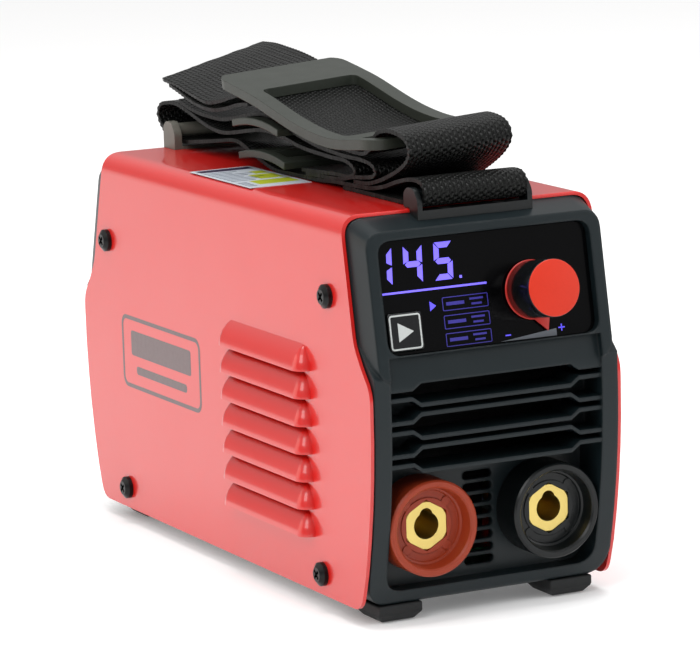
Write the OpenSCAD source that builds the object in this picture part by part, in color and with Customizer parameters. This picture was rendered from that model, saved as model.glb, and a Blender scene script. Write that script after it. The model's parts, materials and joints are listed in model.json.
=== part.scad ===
// Stick welding inverter: a small shoulder-strap welding power source.
// X is the width, Y runs from the front panel (negative) to the rear panel,
// Z is up. The origin is on the floor, under the middle of the bounding box.

/* [Case] */
// Outer width of the sheet-metal cover
case_w = 93; // [90:1:97]
// Depth of the case from front rim to rear rim, at its widest
case_d = 230; // [226:1:240]
// Height of the cover's top face above the floor
case_h = 134.5; // [134:0.5:136]
// Thickness of the cover and tray sheet
sheet_t = 1.2; // [1:0.1:1.5]
// Radius of the gentle bow of the front and rear edges
bow_r = 215; // [190:5:260]
// Lean of the upper front panel, in degrees
front_lean = 10; // [8:0.5:11]
// Lean of the upper rear panel, in degrees
rear_lean = 16; // [13:0.5:17]

/* [Cover louvres] */
// Louvres on each side
louvre_count = 7; // [3:1:7]
// Length of the straight part of a louvre
louvre_l = 55; // [40:1:60]
// Height of one louvre
louvre_h = 8.5; // [7:0.1:8.8]
// How far a louvre stands out
louvre_out = 4.5; // [3:0.5:5]
// Spacing from louvre to louvre
louvre_pitch = 9.3; // [9:0.1:9.6]

/* [Front panel] */
// Half width of the recess inside the rim
recess_x = 39.1; // [38.5:0.1:39.5]
// Number of air slots above the sockets
slot_count = 3; // [1:1:3]
// Spacing of the air slots
slot_pitch = 10.85; // [10.6:0.05:11]
// Number of small vents between the sockets
vent_count = 8; // [4:1:8]

/* [Controls] */
// Radius of the current knob
knob_r = 9.5; // [8.5:0.1:9.8]
// Length of the current knob in front of the window
knob_l = 16.6; // [14:0.2:18]
// Direction of the knob's pointer from straight down, in degrees
pointer_turn = 18; // [-40:1:40]
// Width of the square mode button
button_w = 12.4; // [10:0.1:12.6]

/* [Welding sockets] */
// Distance of each socket from the centre line
socket_x = 22.9; // [22.5:0.1:23]
// Height of the sockets' axes
socket_z = 31.4; // [31:0.1:32]
// Outer radius of a socket's collar
collar_r = 16; // [15:0.1:16]
// Radius of the socket bore that takes the cable plug
bore_r = 4.5; // [4.4:0.05:4.6]

/* [Fan] */
// Width and height of the fan's frame
fan_w = 80; // [76:1:80]
// Number of fan blades
blade_count = 7; // [5:1:9]

/* [Strap] */
// Width of the webbing
web_w = 38; // [34:1:38]
// Thickness of the webbing
web_t = 1.8; // [1.5:0.1:1.8]
// Sideways roll of the handle plate on the folded strap, in degrees
plate_roll = 4; // [3:0.5:4]

/* [Hidden] */
$fn = 48;

// Fits and common steps
gap = 0.3;              // clearance between neighbouring loose parts
run_fit = 0.05;         // radial clearance of a turning pin
eps = 0.02;             // overlap used where cuts must pass a face
floor_gap = 5.4;        // height of the cover's lower edge above the floor

// Outline of the case seen from the side
bow_z = 71;             // height where the bowed edges stand out most
edge_step = 0.6;        // the cover's edge sits this far behind the rim
shoulder = 10;          // how far the rim stands out of the upper cover
jog_low_z = 79.5;       // the cover's outline jogs inwards above this height
jog_mid_z = 86.4;
jog_top_z = 93.5;
jog_mid_y = 6.4;
kink_z = 87;            // the front and rear rims lean back above this height
bend_r = 7.5;           // outer radius of the cover's two long bends

// Inner width and side walls
half_w = case_w / 2;
inner_x = half_w - sheet_t;
panel_x = inner_x - 0.3;    // half width of the plastic end panels
panel_top = case_h - sheet_t - 0.2;
panel_bottom = 6;
wall = 2.5;                 // wall thickness of the plastic end panels

// Window, in the leaned frame of the front panel
window_depth = 2.7;
window_t = 2;
window_z0 = 3.2;
window_z1 = 40.3;
knob_x = 16;
knob_z = 19.5;
button_x = -31.2;
button_z = 10.7;
button_out = 0.8;           // how far the button stands out of the window
button_travel = 0.6;
button_hole = 6.4;          // half width of the window's opening for the button
cap_t = 0.5;                // thickness of the knob's inlaid disc
skirt_back = 1.2;           // depth where the knob's skirt meets its ring
ring_t = 0.7;
board_y = 12.4;             // front face of the display board
board_t = 1.6;

// The four screws of one side: [y, z]
side_screws = [[28.8, 107], [38.3, 12.6], [195.8, 13], [206.2, 102.7]];
louvre_y = 75.3;
louvre_z = 79.9;            // height of the uppermost louvre's lip

// Tray and depth of the end panels
tray_y0 = 34.5;
tray_y1 = 200.5;
tray_z = 6.2;
lug_y0 = 28.5;
lug_y1 = 206.5;
flange_x = inner_x - 0.1;
panel_depth = 34;
rear_depth = case_d - tray_y1 - 0.3;

// Front recess
socket_floor = 16;
rib_floor = 12;
rib_top = 79;
rib_split = 52;
slot_z = 77.25;             // height of the uppermost air slot
slot_wall = 1.4;
slot_mid = 3.9;             // half heights of a slot in its middle and at its ends
slot_end = 1.65;
slot_x0 = 27.7;             // the height changes between these distances
slot_x1 = 30.8;
rib_face = 0.9;             // depth of the ribs' front edges

// Socket stack, front to back
nut_t = 5;
strip_t = 1.5;
collar_front = 3.3;
insert_front = 9.2;
insert_back = 44;
insert_af = 14.8;
tail_r = 5.9;

// Fan and rear panel
rear_floor = case_d - 12;   // outer face of the rear panel's recess
fan_d = 25;
fan_z = 50.5;
fan_back = rear_floor - wall - gap;
fan_hole = 32;              // half spacing of the fan's screws, square pattern
fan_r = fan_w / 2 - 1.8;
gland_x = -19;
gland_r = 8;                // thread radius of the gland
cable_r = 4;                // bore of the gland for the mains cable
switch_x = 18;
inlet_z = 23;               // height of gland and switch in the leaned frame
rocker_y = 11.5;            // depth of the rocker's pin
rocker_tilt = 9;            // the rocker rests this far from its middle

// Boards and parts inside
tray_top = tray_z + sheet_t;
pcb_z = 14;
pcb_top = pcb_z + board_t;

// The bounding box runs in Y from the knob's face to the gland's end, and the
// front rim's foremost line stands at front_y in the part's own frame
gland_l = 6;                // how far the gland stands out of the leaned rim line
gland_cap_r = 9.5;
knob_front = (knob_z - knob_r + 0.5) * sin(front_lean)
             + (window_depth - knob_l) * cos(front_lean);
gland_back = case_d - (inlet_z - gland_cap_r) * sin(rear_lean) + gland_l * cos(rear_lean);
front_y = -(knob_front + gland_back) / 2;

// Strap hardware
front_bar = [17, 138.7];    // [y, z] of each cross bar
rear_bar = [202, 141];
front_base = [12.3, 17.9];  // the front bracket's base, from y to y
front_base_top = 134.3;
front_screw_y = 15.1;
roll_z = 150;               // height of the axis that the handle plate rolls about

// ---------------------------------------------------------------- functions
function bow(z) = (z - bow_z) * (z - bow_z) / (2 * bow_r);
function unit(v) = v / norm(v);
function flat(v) = [v[0], v[1]];
// A corner point drawn as a short curve that starts d before it and ends d after
function curve(a, p, b, d, n) =
    [for (i = [0:n]) let (t = i / n)
        (1 - t) * (1 - t) * (p + d * unit(a - p)) + 2 * t * (1 - t) * p
        + t * t * (p + d * unit(b - p))];
// A closed outline from points [u, v, d], where d rounds the corner
function outline(pts, n = 6) =
    [for (i = [0:len(pts) - 1])
        let (m = len(pts), p = pts[i], a = pts[(i + m - 1) % m], b = pts[(i + 1) % m])
        each p[2] == 0 ? [flat(p)] : curve(flat(a), flat(p), flat(b), p[2], n)];
// A smooth line through open points
function spline_point(a, b, c, d, t) =
    0.5 * ((2 * b) + (c - a) * t + (2 * a - 5 * b + 4 * c - d) * t * t
           + (3 * b - a - 3 * c + d) * t * t * t);
function spline(pts, n = 4) =
    let (m = len(pts) - 1)
    concat([for (i = [0:m - 1], j = [0:n - 1])
        spline_point(pts[max(i - 1, 0)], pts[i], pts[i + 1], pts[min(i + 2, m)], j / n)],
        [pts[m]]);
// Outline of a strip of thickness t that follows a line
function side_step(line, i) =
    let (m = len(line) - 1, v = unit(line[min(i + 1, m)] - line[max(i - 1, 0)]))
    [-v[1], v[0]];
function strip(line, t) =
    concat([for (i = [0:len(line) - 1]) line[i] + side_step(line, i) * t / 2],
           [for (i = [len(line) - 1:-1:0]) line[i] - side_step(line, i) * t / 2]);
function box_outline(x0, x1, z0, z1, r) =
    outline([[x0, z0, r], [x1, z0, r], [x1, z1, r], [x0, z1, r]]);

// ------------------------------------------------------------- placing tools
// From the front rim's plane to the part's own frame
module from_front() {
    translate([0, front_y, 0]) children();
}

// An outline in Y and Z, extruded from x0 to x1
module along_x(x0, x1) {
    translate([x0, 0, 0]) rotate([90, 0, 90]) linear_extrude(x1 - x0) children();
}

// An outline in X and Z, extruded from y0 to y1
module along_y(y0, y1) {
    translate([0, y1, 0]) rotate([90, 0, 0]) linear_extrude(y1 - y0) children();
}

// A cylinder along Y
module rod_y(r, y0, y1) {
    translate([0, y1, 0]) rotate([90, 0, 0]) cylinder(r = r, h = y1 - y0);
}

// The leaned frame of an end panel: its Y axis points into the case
module leaned(lean) {
    translate([0, 0, kink_z]) rotate([-lean, 0, 0]) children();
}

// The rear panel is built like a front panel and turned round
module from_rear() {
    translate([0, front_y + case_d, 0]) mirror([0, 1, 0]) children();
}

module both_sides() {
    children();
    mirror([1, 0, 0]) children();
}

// A hexagonal prism along Y, with a corner up
module hex_y(across_flats, y0, y1) {
    translate([0, y1, 0]) rotate([90, 30, 0])
        cylinder(r = across_flats / sqrt(3), h = y1 - y0, $fn = 6);
}

// A pan-head screw along +X, its head's underside at x = 0
module pan_screw(head_r, head_h, shank_r, shank_l) {
    difference() {
        union() {
            rotate([0, -90, 0]) cylinder(r = head_r, h = head_h * 0.55);
            translate([-head_h * 0.55, 0, 0]) rotate([0, -90, 0])
                cylinder(r1 = head_r, r2 = head_r * 0.62, h = head_h * 0.45);
            translate([-eps, 0, 0]) rotate([0, 90, 0]) cylinder(r = shank_r, h = shank_l);
        }
        for (a = [45, 135]) {
            translate([-head_h, 0, 0]) rotate([a, 0, 0])
                cube([head_h * 0.9, head_r * 0.95, head_r * 0.26], center = true);
        }
    }
}

// A slot with round ends in X and Z
module round_slot(w, h) {
    square([w - h, h], center = true);
    for (s = [-1, 1]) {
        translate([s * (w - h) / 2, 0]) circle(r = h / 2, $fn = 24);
    }
}

// ------------------------------------------------------------------- outlines
// Side outline of one end of the cover, from the bottom to the top
function end_line(lean) =
    concat([[edge_step + bow(floor_gap) + 0.6, floor_gap, 5]],
           [for (z = [18:11:73]) [edge_step + bow(z), z, 0]],
           [[edge_step, jog_low_z, 4], [jog_mid_y, jog_mid_z, 2],
            [jog_mid_y + 4.7, jog_top_z, 3],
            [jog_mid_y + 4.7 + (case_h - jog_top_z) * tan(lean), case_h, 1]]);

module side_outline() {
    front = end_line(front_lean);
    rear = end_line(rear_lean);
    n = len(rear) - 1;
    polygon(outline(concat(front,
        [for (i = [n:-1:0]) [case_d - rear[i][0], rear[i][1], rear[i][2]]])));
}

// Front outline of the cover: x half width, top height and corner size
module arch_outline(x, top, r) {
    polygon(outline([[-x, 0, 0], [x, 0, 0], [x, top, r], [-x, top, r]], 8));
}

// Outer body of an end panel, seen as the front panel
module end_block(lean, depth) {
    shoulder_top = (panel_top - kink_z + shoulder * sin(lean)) / cos(lean);
    intersection() {
        along_y(-1, depth)
            polygon(outline([[-panel_x, panel_bottom, 10], [panel_x, panel_bottom, 10],
                             [panel_x, panel_top, 7], [-panel_x, panel_top, 7]], 8));
        along_x(-half_w, half_w)
            polygon(outline(concat(
                [[bow(panel_bottom) + 1.4, panel_bottom, 2]],
                [for (z = [15:9:78]) [bow(z), z, 0]],
                [[0, 83, 0], [jog_mid_y + 4.4, jog_top_z, 0],
                 [jog_mid_y + 4.4 + (panel_top - jog_top_z) * tan(lean), panel_top, 0],
                 [depth, panel_top, 0], [depth, panel_bottom, 0]])));
    }
    // the rim stands out of the upper cover and narrows towards its face
    hull() {
        leaned(lean) along_y(0, 0.2)
            polygon(box_outline(-43.2, 43.2, -5, 43.3, 6));
        leaned(lean) along_y(shoulder, shoulder + 0.4)
            polygon(box_outline(-panel_x + 0.1, panel_x - 0.1, -8, shoulder_top, 7));
    }
}

// ------------------------------------------------------------------ the cover
// One louvre's solid shape: it stands out towards -X and is open below
module louvre(out, h, l) {
    profile = [[0, 0], [out, 0], [out, h * 0.08], [out * 0.93, h * 0.3],
               [out * 0.72, h * 0.58], [out * 0.36, h * 0.85], [0, h]];
    translate([0, -l / 2, 0]) rotate([90, 0, 180]) linear_extrude(l) polygon(profile);
    for (s = [-1, 1]) {
        translate([0, s * l / 2, 0])
            rotate([0, 0, s > 0 ? 90 : 180]) rotate_extrude(angle = 90) polygon(profile);
    }
}

module place_louvres() {
    for (i = [0:louvre_count - 1]) {
        translate([-half_w, louvre_y, louvre_z - i * louvre_pitch]) children();
    }
}

module cover() {
    color("#C8120F") from_front() difference() {
        union() {
            intersection() {
                along_x(-half_w, half_w) side_outline();
                along_y(0, case_d) difference() {
                    arch_outline(half_w, case_h, bend_r);
                    translate([0, -eps])
                        arch_outline(inner_x, case_h - sheet_t, bend_r - sheet_t);
                }
            }
            both_sides() place_louvres() louvre(louvre_out, louvre_h, louvre_l);
        }
        both_sides() {
            place_louvres() translate([sheet_t + eps, 0, -eps])
                louvre(louvre_out, louvre_h - 1.1, louvre_l - 2.2);
            for (s = side_screws) {
                translate([-half_w - 1, s[0], s[1]]) rotate([0, 90, 0])
                    cylinder(r = 2.2, h = 4);
            }
        }
    }
}

// Channel with a flange along each side, a stepped lug over each end panel's
// floor, and air slots
module base_tray() {
    lug_w = 14;
    lug_z = panel_bottom + wall;
    screw_x = 15;
    color("#8F9396") from_front() difference() {
        union() {
            difference() {
                translate([-flange_x, tray_y0, tray_z])
                    cube([2 * flange_x, tray_y1 - tray_y0, 16]);
                translate([-flange_x + sheet_t, tray_y0 - 1, tray_top])
                    cube([2 * (flange_x - sheet_t), tray_y1 - tray_y0 + 2, 20]);
            }
            for (x = [-screw_x, screw_x]) {
                translate([x - lug_w / 2, lug_y0 - 5, lug_z]) cube([lug_w, 16, sheet_t]);
                translate([x - lug_w / 2, tray_y0, tray_z])
                    cube([lug_w, 5, lug_z + sheet_t - tray_z]);
                translate([x - lug_w / 2, lug_y1 - 11, lug_z]) cube([lug_w, 16, sheet_t]);
                translate([x - lug_w / 2, tray_y1 - 5, tray_z])
                    cube([lug_w, 5, lug_z + sheet_t - tray_z]);
            }
        }
        both_sides() for (s = [side_screws[1], side_screws[2]]) {
            translate([-flange_x - 1, s[0], s[1]]) rotate([0, 90, 0])
                cylinder(r = 2.2, h = 3);
        }
        for (i = [0:5], s = [-1, 1]) {
            translate([s * 17 - 12, 70 + i * 16, tray_z - 1]) cube([24, 5, 4]);
        }
        for (x = [-screw_x, screw_x], y = [lug_y0, lug_y1]) {
            translate([x, y, tray_z - 1]) cylinder(r = 2.2, h = 6);
        }
    }
}

// ---------------------------------------------------------------- end panels
// Front outline of one air slot: low at its ends, higher in the middle
module slot_outline(grow) {
    mid = slot_mid + grow;
    end = slot_end + grow;
    polygon([[-40, -end], [-slot_x1, -end], [-slot_x0, -mid], [slot_x0, -mid],
             [slot_x1, -end], [40, -end], [40, end], [slot_x1, end], [slot_x0, mid],
             [-slot_x0, mid], [-slot_x1, end], [-40, end]]);
}

module place_slots() {
    for (i = [0:slot_count - 1]) {
        translate([0, 0, slot_z - i * slot_pitch]) children();
    }
}

// Open space of the front panel, in front of the window, ribs and sockets
module front_recess() {
    foot = [window_z0 * sin(front_lean) + window_depth * cos(front_lean),
            kink_z + window_z0 * cos(front_lean) - window_depth * sin(front_lean)];
    difference() {
        intersection() {
            along_y(-5, 40)
                polygon(outline([[-recess_x, 11, 7], [recess_x, 11, 7],
                                 [recess_x, 95, 0], [-recess_x, 95, 0]]));
            along_x(-recess_x, recess_x)
                polygon([[-5, 11], [socket_floor, 11], [socket_floor, rib_split],
                         [rib_floor, rib_split + 2], [rib_floor, rib_top],
                         [-5, rib_top]]);
        }
        place_slots() along_y(rib_face, 25) slot_outline(slot_wall / 2);
    }
    along_x(-recess_x, recess_x)
        polygon([[-5, rib_top - eps], [rib_face, rib_top - eps],
                 [rib_face, foot[1]], [-5, foot[1]]]);
    // the ledge slopes from the uppermost rib's edge to the window's foot
    low = slot_z + slot_end + slot_wall / 2;
    high = slot_z + slot_mid + slot_wall / 2;
    lip = [[-recess_x, low], [-slot_x1, low], [-slot_x0, high],
           [slot_x0, high], [slot_x1, low], [recess_x - eps, low]];
    for (i = [0:len(lip) - 2]) {
        hull() {
            for (p = [lip[i], lip[i + 1]]) {
                along_x(p[0], p[0] + eps)
                    polygon([[-5, p[1]], [rib_face, p[1]], foot, [-5, foot[1]]]);
            }
        }
    }
    leaned(front_lean) along_y(-12, window_depth + window_t)
        polygon(box_outline(-recess_x, recess_x, window_z0, window_z1, 5));
}

module front_bezel() {
    in_x = panel_x - wall;
    top = panel_top - wall;
    lean_y = 8.3;
    color("#22292D") from_front() difference() {
        union() {
            difference() {
                end_block(front_lean, panel_depth);
                intersection() {
                    along_y(0, panel_depth + 1) polygon(box_outline(-in_x, in_x, 8.5, top, 5));
                    along_x(-in_x, in_x)
                        polygon([[socket_floor + wall, 8], [socket_floor + wall, rib_split - 1.5],
                                 [rib_floor + wall, rib_split + 1], [rib_floor + wall, 84],
                                 [lean_y, 90], [lean_y + (top - 90) * tan(front_lean), top],
                                 [panel_depth + 1, top], [panel_depth + 1, 8]]);
                }
            }
            both_sides() translate([-panel_x + 1, side_screws[0][0], side_screws[0][1]])
                rotate([0, 90, 0]) cylinder(r = 4, h = 8);
            leaned(front_lean) for (post = [[-20, 6], [36, 6], [-4, 38], [36, 38]]) {
                translate([post[0], 0, post[1]]) rod_y(2.4, 6, board_y);
            }
        }
        front_recess();
        place_slots() along_y(-5, 30)
            intersection() {
                slot_outline(-slot_wall / 2);
                square([2 * recess_x, 20], center = true);
            }
        both_sides() translate([-panel_x - 1, side_screws[0][0], side_screws[0][1]])
            rotate([0, 90, 0]) cylinder(r = 1.7, h = 9);
        both_sides() translate([socket_x, 0, socket_z]) rod_y(11.05, 10, 25);
        for (i = [0:vent_count - 1]) {
            translate([0, 0, 44.4 - i * 4.11]) along_y(10, 25) round_slot(11, 2.9);
        }
        leaned(front_lean) {
            translate([-36, 3, 22.5]) cube([27, 9, 15.5]);
            translate([button_x, 0, button_z]) along_y(3, 12)
                square(2 * button_hole + 0.6, center = true);
            translate([knob_x, 0, knob_z]) rod_y(3.7, 3, 12);
        }
        for (x = [-15, 15]) {
            translate([x, lug_y0, panel_bottom - 1]) cylinder(r = 1.7, h = 6);
        }
        for (x = [-10, 10]) {
            translate([x, front_screw_y, 129]) cylinder(r = 1.4, h = 9);
        }
    }
}

module rear_panel() {
    in_x = panel_x - wall;
    top = panel_top - wall;
    floor_y = case_d - rear_floor;
    floor_top = 92;
    lean_y = 16.2;
    color("#2B3033") from_rear() difference() {
        union() {
            difference() {
                end_block(rear_lean, rear_depth);
                intersection() {
                    along_y(0, rear_depth + 1) polygon(box_outline(-in_x, in_x, 8.5, top, 5));
                    along_x(-in_x, in_x)
                        polygon([[floor_y + wall, 8], [floor_y + wall, 91], [lean_y, 94],
                                 [lean_y + (top - 94) * tan(rear_lean), top],
                                 [rear_depth + 1, top], [rear_depth + 1, 8]]);
                }
            }
            both_sides() translate([-panel_x + 1, case_d - side_screws[3][0], side_screws[3][1]])
                rotate([0, 90, 0]) cylinder(r = 3.6, h = 3.5);
        }
        // recess for the grille and, above it, the leaned recess for switch and gland
        along_y(-5, floor_y) polygon(box_outline(-recess_x, recess_x, 10.5, floor_top, 6));
        leaned(rear_lean) along_y(-14, floor_y - 1)
            polygon(box_outline(-recess_x, recess_x, 3, 40.3, 5));
        // fan grille: rings cut through the floor between four spokes
        translate([0, 0, fan_z]) difference() {
            for (i = [0:5]) {
                difference() {
                    rod_y(10.5 + i * 5.2, floor_y - 1, floor_y + wall + 1);
                    rod_y(7.3 + i * 5.2, floor_y - 2, floor_y + wall + 2);
                }
            }
            for (a = [45, 135]) {
                rotate([0, a, 0]) translate([-45, floor_y - 3, -1.6])
                    cube([90, wall + 6, 3.2]);
            }
        }
        for (x = [-fan_hole, fan_hole], z = [-fan_hole, fan_hole]) {
            translate([x, 0, fan_z + z]) rod_y(2.2, floor_y - 3, floor_y + wall + 3);
        }
        leaned(rear_lean) {
            translate([gland_x, 0, inlet_z]) rod_y(gland_r + 0.1, 0, 30);
            translate([switch_x - 6.7, 0, inlet_z - 9.7]) cube([13.4, 30, 19.4]);
        }
        both_sides() translate([-panel_x - 1, case_d - side_screws[3][0], side_screws[3][1]])
            rotate([0, 90, 0]) cylinder(r = 1.7, h = 9);
        for (x = [-15, 15]) {
            translate([x, case_d - lug_y1, panel_bottom - 1]) cylinder(r = 1.7, h = 6);
        }
    }
}

// Four moulded feet, bevelled all round towards the floor
module feet() {
    color("#17191A") from_front() for (x = [-32, 32], y = [20, case_d - 24]) {
        translate([x, y, 0]) intersection() {
            along_x(-8, 8)
                polygon([[-9, 6], [-9, 3], [-6.5, 0], [6.5, 0], [9, 3], [9, 6]]);
            along_y(-9, 9)
                polygon([[-8, 6], [-8, 2.4], [-6, 0], [6, 0], [8, 2.4], [8, 6]]);
        }
    }
}

// ------------------------------------------------------------------- controls
module display_window() {
    y1 = window_depth + window_t;
    color([0.03, 0.03, 0.05, 0.9]) from_front() leaned(front_lean) difference() {
        along_y(window_depth, y1 - 0.05)
            polygon(box_outline(-recess_x + 0.2, recess_x - 0.2, window_z0 + 0.2,
                                window_z1 - 0.2, 4.8));
        translate([knob_x, 0, knob_z]) rod_y(3.7, 0, 10);
        translate([button_x, 0, button_z]) along_y(0, 10)
            polygon(box_outline(-button_hole, button_hole, -button_hole, button_hole, 1.4));
    }
}

// Three-digit display block behind the window
module led_display() {
    color("#2A2A33") from_front() leaned(front_lean)
        translate([-35, window_depth + window_t + 0.1, 23.5])
            cube([25, board_y - window_depth - window_t - 0.1, 13.5]);
}

module display_board() {
    color("#1F6B3A") from_front() leaned(front_lean)
        translate([-38, board_y, 4]) cube([76, board_t, 36]);
}

module button_switch() {
    color("#3A3A3A") from_front() leaned(front_lean) translate([button_x, 0, button_z]) {
        translate([-3, board_y - 3.5, -3]) cube([6, 3.5, 6]);
        rod_y(1.6, board_y - 4.4, board_y - 3.4);
    }
}

module mode_button() {
    y0 = window_depth - button_out;
    h = button_w / 2;
    color("#0E1012") from_front() leaned(front_lean) translate([button_x, 0, button_z]) {
        along_y(y0, y0 + 4) polygon(box_outline(-h, h, -h, h, 1.2));
        rod_y(2.4, y0 + 3.9, board_y - 4.5 - button_travel);
    }
}

module at_knob() {
    from_front() leaned(front_lean) translate([knob_x, 0, knob_z]) children();
}

// Rotary encoder: square body on the board, bushing through the panel
module encoder_body() {
    color("#9A9C9E") at_knob() difference() {
        union() {
            translate([-6, 7.8, -6.5]) cube([12, board_y - 7.8, 13]);
            rod_y(3.5, 1.6, 8);
        }
        rod_y(3 + run_fit, 0, board_y + 1);
    }
}

module encoder_shaft() {
    color("#B9BBBD") at_knob() rod_y(3, -9, board_y - 0.5);
}

module knob_skirt() {
    color("#101214") at_knob() difference() {
        rod_y(knob_r, window_depth - knob_l + cap_t, skirt_back);
        rod_y(3, -9, 3);
        rod_y(knob_r - 2.5, -5, 3);
    }
}

module knob_cap() {
    face = window_depth - knob_l;
    color("#F03A24") at_knob() translate([0, face, 0]) rotate([-90, 0, 0])
        rotate_extrude($fn = 96)
            polygon([[0, 0], [knob_r - 0.5, 0], [knob_r - 0.15, 0.3],
                     [knob_r - 0.15, cap_t], [0, cap_t]]);
}

// Thin ring under the knob with its pointer
module knob_pointer() {
    color("#D2281B") at_knob() rotate([0, pointer_turn, 0]) difference() {
        union() {
            rod_y(knob_r + 0.3, skirt_back, skirt_back + ring_t);
            along_y(skirt_back, skirt_back + ring_t)
                polygon([[-3.1, -9.2], [0, -14.8], [3.1, -9.2]]);
        }
        rod_y(knob_r - 2.5, 0, 3);
    }
}

// ------------------------------------------------------------ welding sockets
module at_socket(side) {
    from_front() translate([side * socket_x, 0, socket_z]) children();
}

// Moulded cup with a shank through the panel and a pocket for the insert
module collar() {
    r = collar_r;
    difference() {
        union() {
            rotate([-90, 0, 0]) rotate_extrude($fn = 96)
                polygon([[tail_r + 0.1, insert_front - 0.3], [9.3, insert_front - 0.3],
                         [9.3, insert_front + 0.1], [11.7, insert_front + 0.1],
                         [12, 8.4], [12.7, 8.2], [r - 2.6, 3.9], [r - 2, collar_front],
                         [r - 0.6, collar_front], [r, collar_front + 0.6],
                         [r, socket_floor], [11, socket_floor],
                         [11, socket_floor + wall + 0.8], [tail_r + 0.1, socket_floor + wall + 0.8]]);
            for (a = [45:90:315]) {
                rotate([0, a, 0]) translate([10.4, 0, 0])
                    rod_y(1.6, insert_front - 0.25, insert_front + 0.3);
            }
        }
        hex_y(insert_af + 0.1, 8, insert_front + 5);
    }
}

// Brass insert: hexagon in front, round tail behind, blind bore with a keyway
module insert() {
    difference() {
        union() {
            intersection() {
                hex_y(insert_af, insert_front, insert_front + 5);
                rotate([-90, 0, 0]) rotate_extrude($fn = 96)
                    polygon([[0, insert_front], [7.8, insert_front],
                             [8.5, insert_front + 0.6], [8.5, insert_front + 5],
                             [0, insert_front + 5]]);
            }
            rod_y(tail_r, insert_front + 4.9, insert_back);
        }
        rod_y(bore_r, insert_front - 1, insert_back - 8);
        translate([0, 0, 3.4]) rod_y(2.4, insert_front - 1, insert_front + 11);
    }
}

module collar_positive() {
    color("#9C3F2A") at_socket(-1) collar();
}

module insert_positive() {
    color("#D9BE6A") at_socket(-1) insert();
}

module collar_negative() {
    color("#1E2626") at_socket(1) collar();
}

module insert_negative() {
    color("#D9BE6A") at_socket(1) insert();
}

module socket_washers() {
    y0 = socket_floor + wall + 0.8;
    color("#B5B8BA") for (s = [-1, 1]) {
        at_socket(s) difference() {
            rod_y(13, y0, y0 + 1.2);
            rod_y(tail_r + 0.1, y0 - 1, y0 + 3);
        }
    }
}

// Two nuts on each tail, one either side of the output strip
module socket_nuts() {
    y0 = socket_floor + wall + 2;
    color("#C9A24E") for (s = [-1, 1], y = [y0, y0 + nut_t + strip_t]) {
        at_socket(s) difference() {
            hex_y(19, y, y + nut_t);
            rod_y(tail_r + run_fit, y - 1, y + nut_t + 1);
        }
    }
}

// Copper strips from the sockets down to the board
module output_busbars() {
    y0 = socket_floor + wall + 2 + nut_t;
    color("#B66A35") for (s = [-1, 1]) {
        from_front() difference() {
            translate([s * socket_x, 0, 0]) union() {
                translate([-7, y0, pcb_top]) cube([14, strip_t, socket_z + 9 - pcb_top]);
                translate([-7, y0, pcb_top]) cube([14, 14, strip_t]);
            }
            translate([s * socket_x, 0, socket_z])
                rod_y(tail_r + 0.1, y0 - 1, y0 + strip_t + 1);
        }
    }
}

// ------------------------------------------------------------- power circuits
board_holes = [[-34, 44], [34, 44], [-34, 100], [34, 100], [-34, 182], [34, 182]];

module main_board() {
    color("#1E6A3C") from_front() difference() {
        translate([-38, 31, pcb_z]) cube([76, 157, board_t]);
        for (h = board_holes) {
            translate([h[0], h[1], pcb_z - 1]) cylinder(r = 1.8, h = 4);
        }
    }
}

module board_standoffs() {
    color("#C8B273") from_front() for (h = board_holes) {
        translate([h[0], h[1], tray_top]) difference() {
            cylinder(r = 3, h = pcb_z - tray_top);
            translate([0, 0, 1]) cylinder(r = 1.5, h = pcb_z);
        }
    }
}

module board_screws() {
    color("#A9ADB0") from_front() for (h = board_holes) {
        translate([h[0], h[1], pcb_top]) rotate([0, 90, 0])
            pan_screw(2.8, 1.9, 1.45, 6);
    }
}

module transformer_core() {
    color("#3B3D40") from_front() difference() {
        translate([-24, 57, pcb_top]) cube([48, 20, 46]);
        for (s = [-1, 1]) {
            translate([s * 12.5 - 4.5, 56, pcb_top + 8]) cube([9, 22, 30]);
        }
    }
}

// Copper foil turns, stacked round the core's middle leg
module transformer_windings() {
    turns = 6;
    pitch = 29.2 / turns;
    color("#B4662E") from_front() translate([0, 67, pcb_top + 8.4])
        for (i = [0:turns - 1]) {
            translate([0, 0, i * pitch]) linear_extrude(pitch - 0.5) difference() {
                polygon(box_outline(-16.6, 16.6, -17, 17, 7));
                square([16.8, 20.8], center = true);
            }
        }
}

module at_choke() {
    from_front() translate([0, 96, 38.9]) children();
}

module choke_core() {
    color("#2E5E4E") at_choke() difference() {
        rod_y(18, -5, 5);
        rod_y(10, -6, 6);
    }
}

// Heavy copper turns wound through the ring core
module choke_winding() {
    turns = 14;
    color("#B4662E") at_choke() for (i = [0:turns - 1]) {
        rotate([0, i * 360 / turns, 0]) translate([14, 0, 0])
            rotate_extrude() translate([7.7, 0]) circle(r = 1.15, $fn = 16);
    }
}

// Finned extrusion standing on the board, its flat back towards the middle
module heat_sink() {
    fins = 8;
    base = 29;
    translate([base, 108, pcb_top]) cube([4, 68, 70]);
    for (i = [0:fins - 1]) {
        translate([base + 3.9, 108, pcb_top + 3 + i * 9]) cube([8, 68, 1.6]);
    }
}

module heat_sink_left() {
    color("#A8ABAE") from_front() mirror([1, 0, 0]) heat_sink();
}

module heat_sink_right() {
    color("#A8ABAE") from_front() heat_sink();
}

// Flat-bodied transistors and diodes against the heat sinks, with three legs each
module power_transistors() {
    color("#1B1B1D") from_front() for (s = [-1, 1], y = [114:20:154]) {
        translate([s * 26.4 - 2.5, y, pcb_top + 14]) cube([5, 16, 21]);
        for (leg = [2.5, 8, 13.5]) {
            translate([s * 26.4 - 0.4, y + leg - 0.6, pcb_top]) cube([0.8, 1.2, 14.2]);
        }
    }
}

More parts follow.
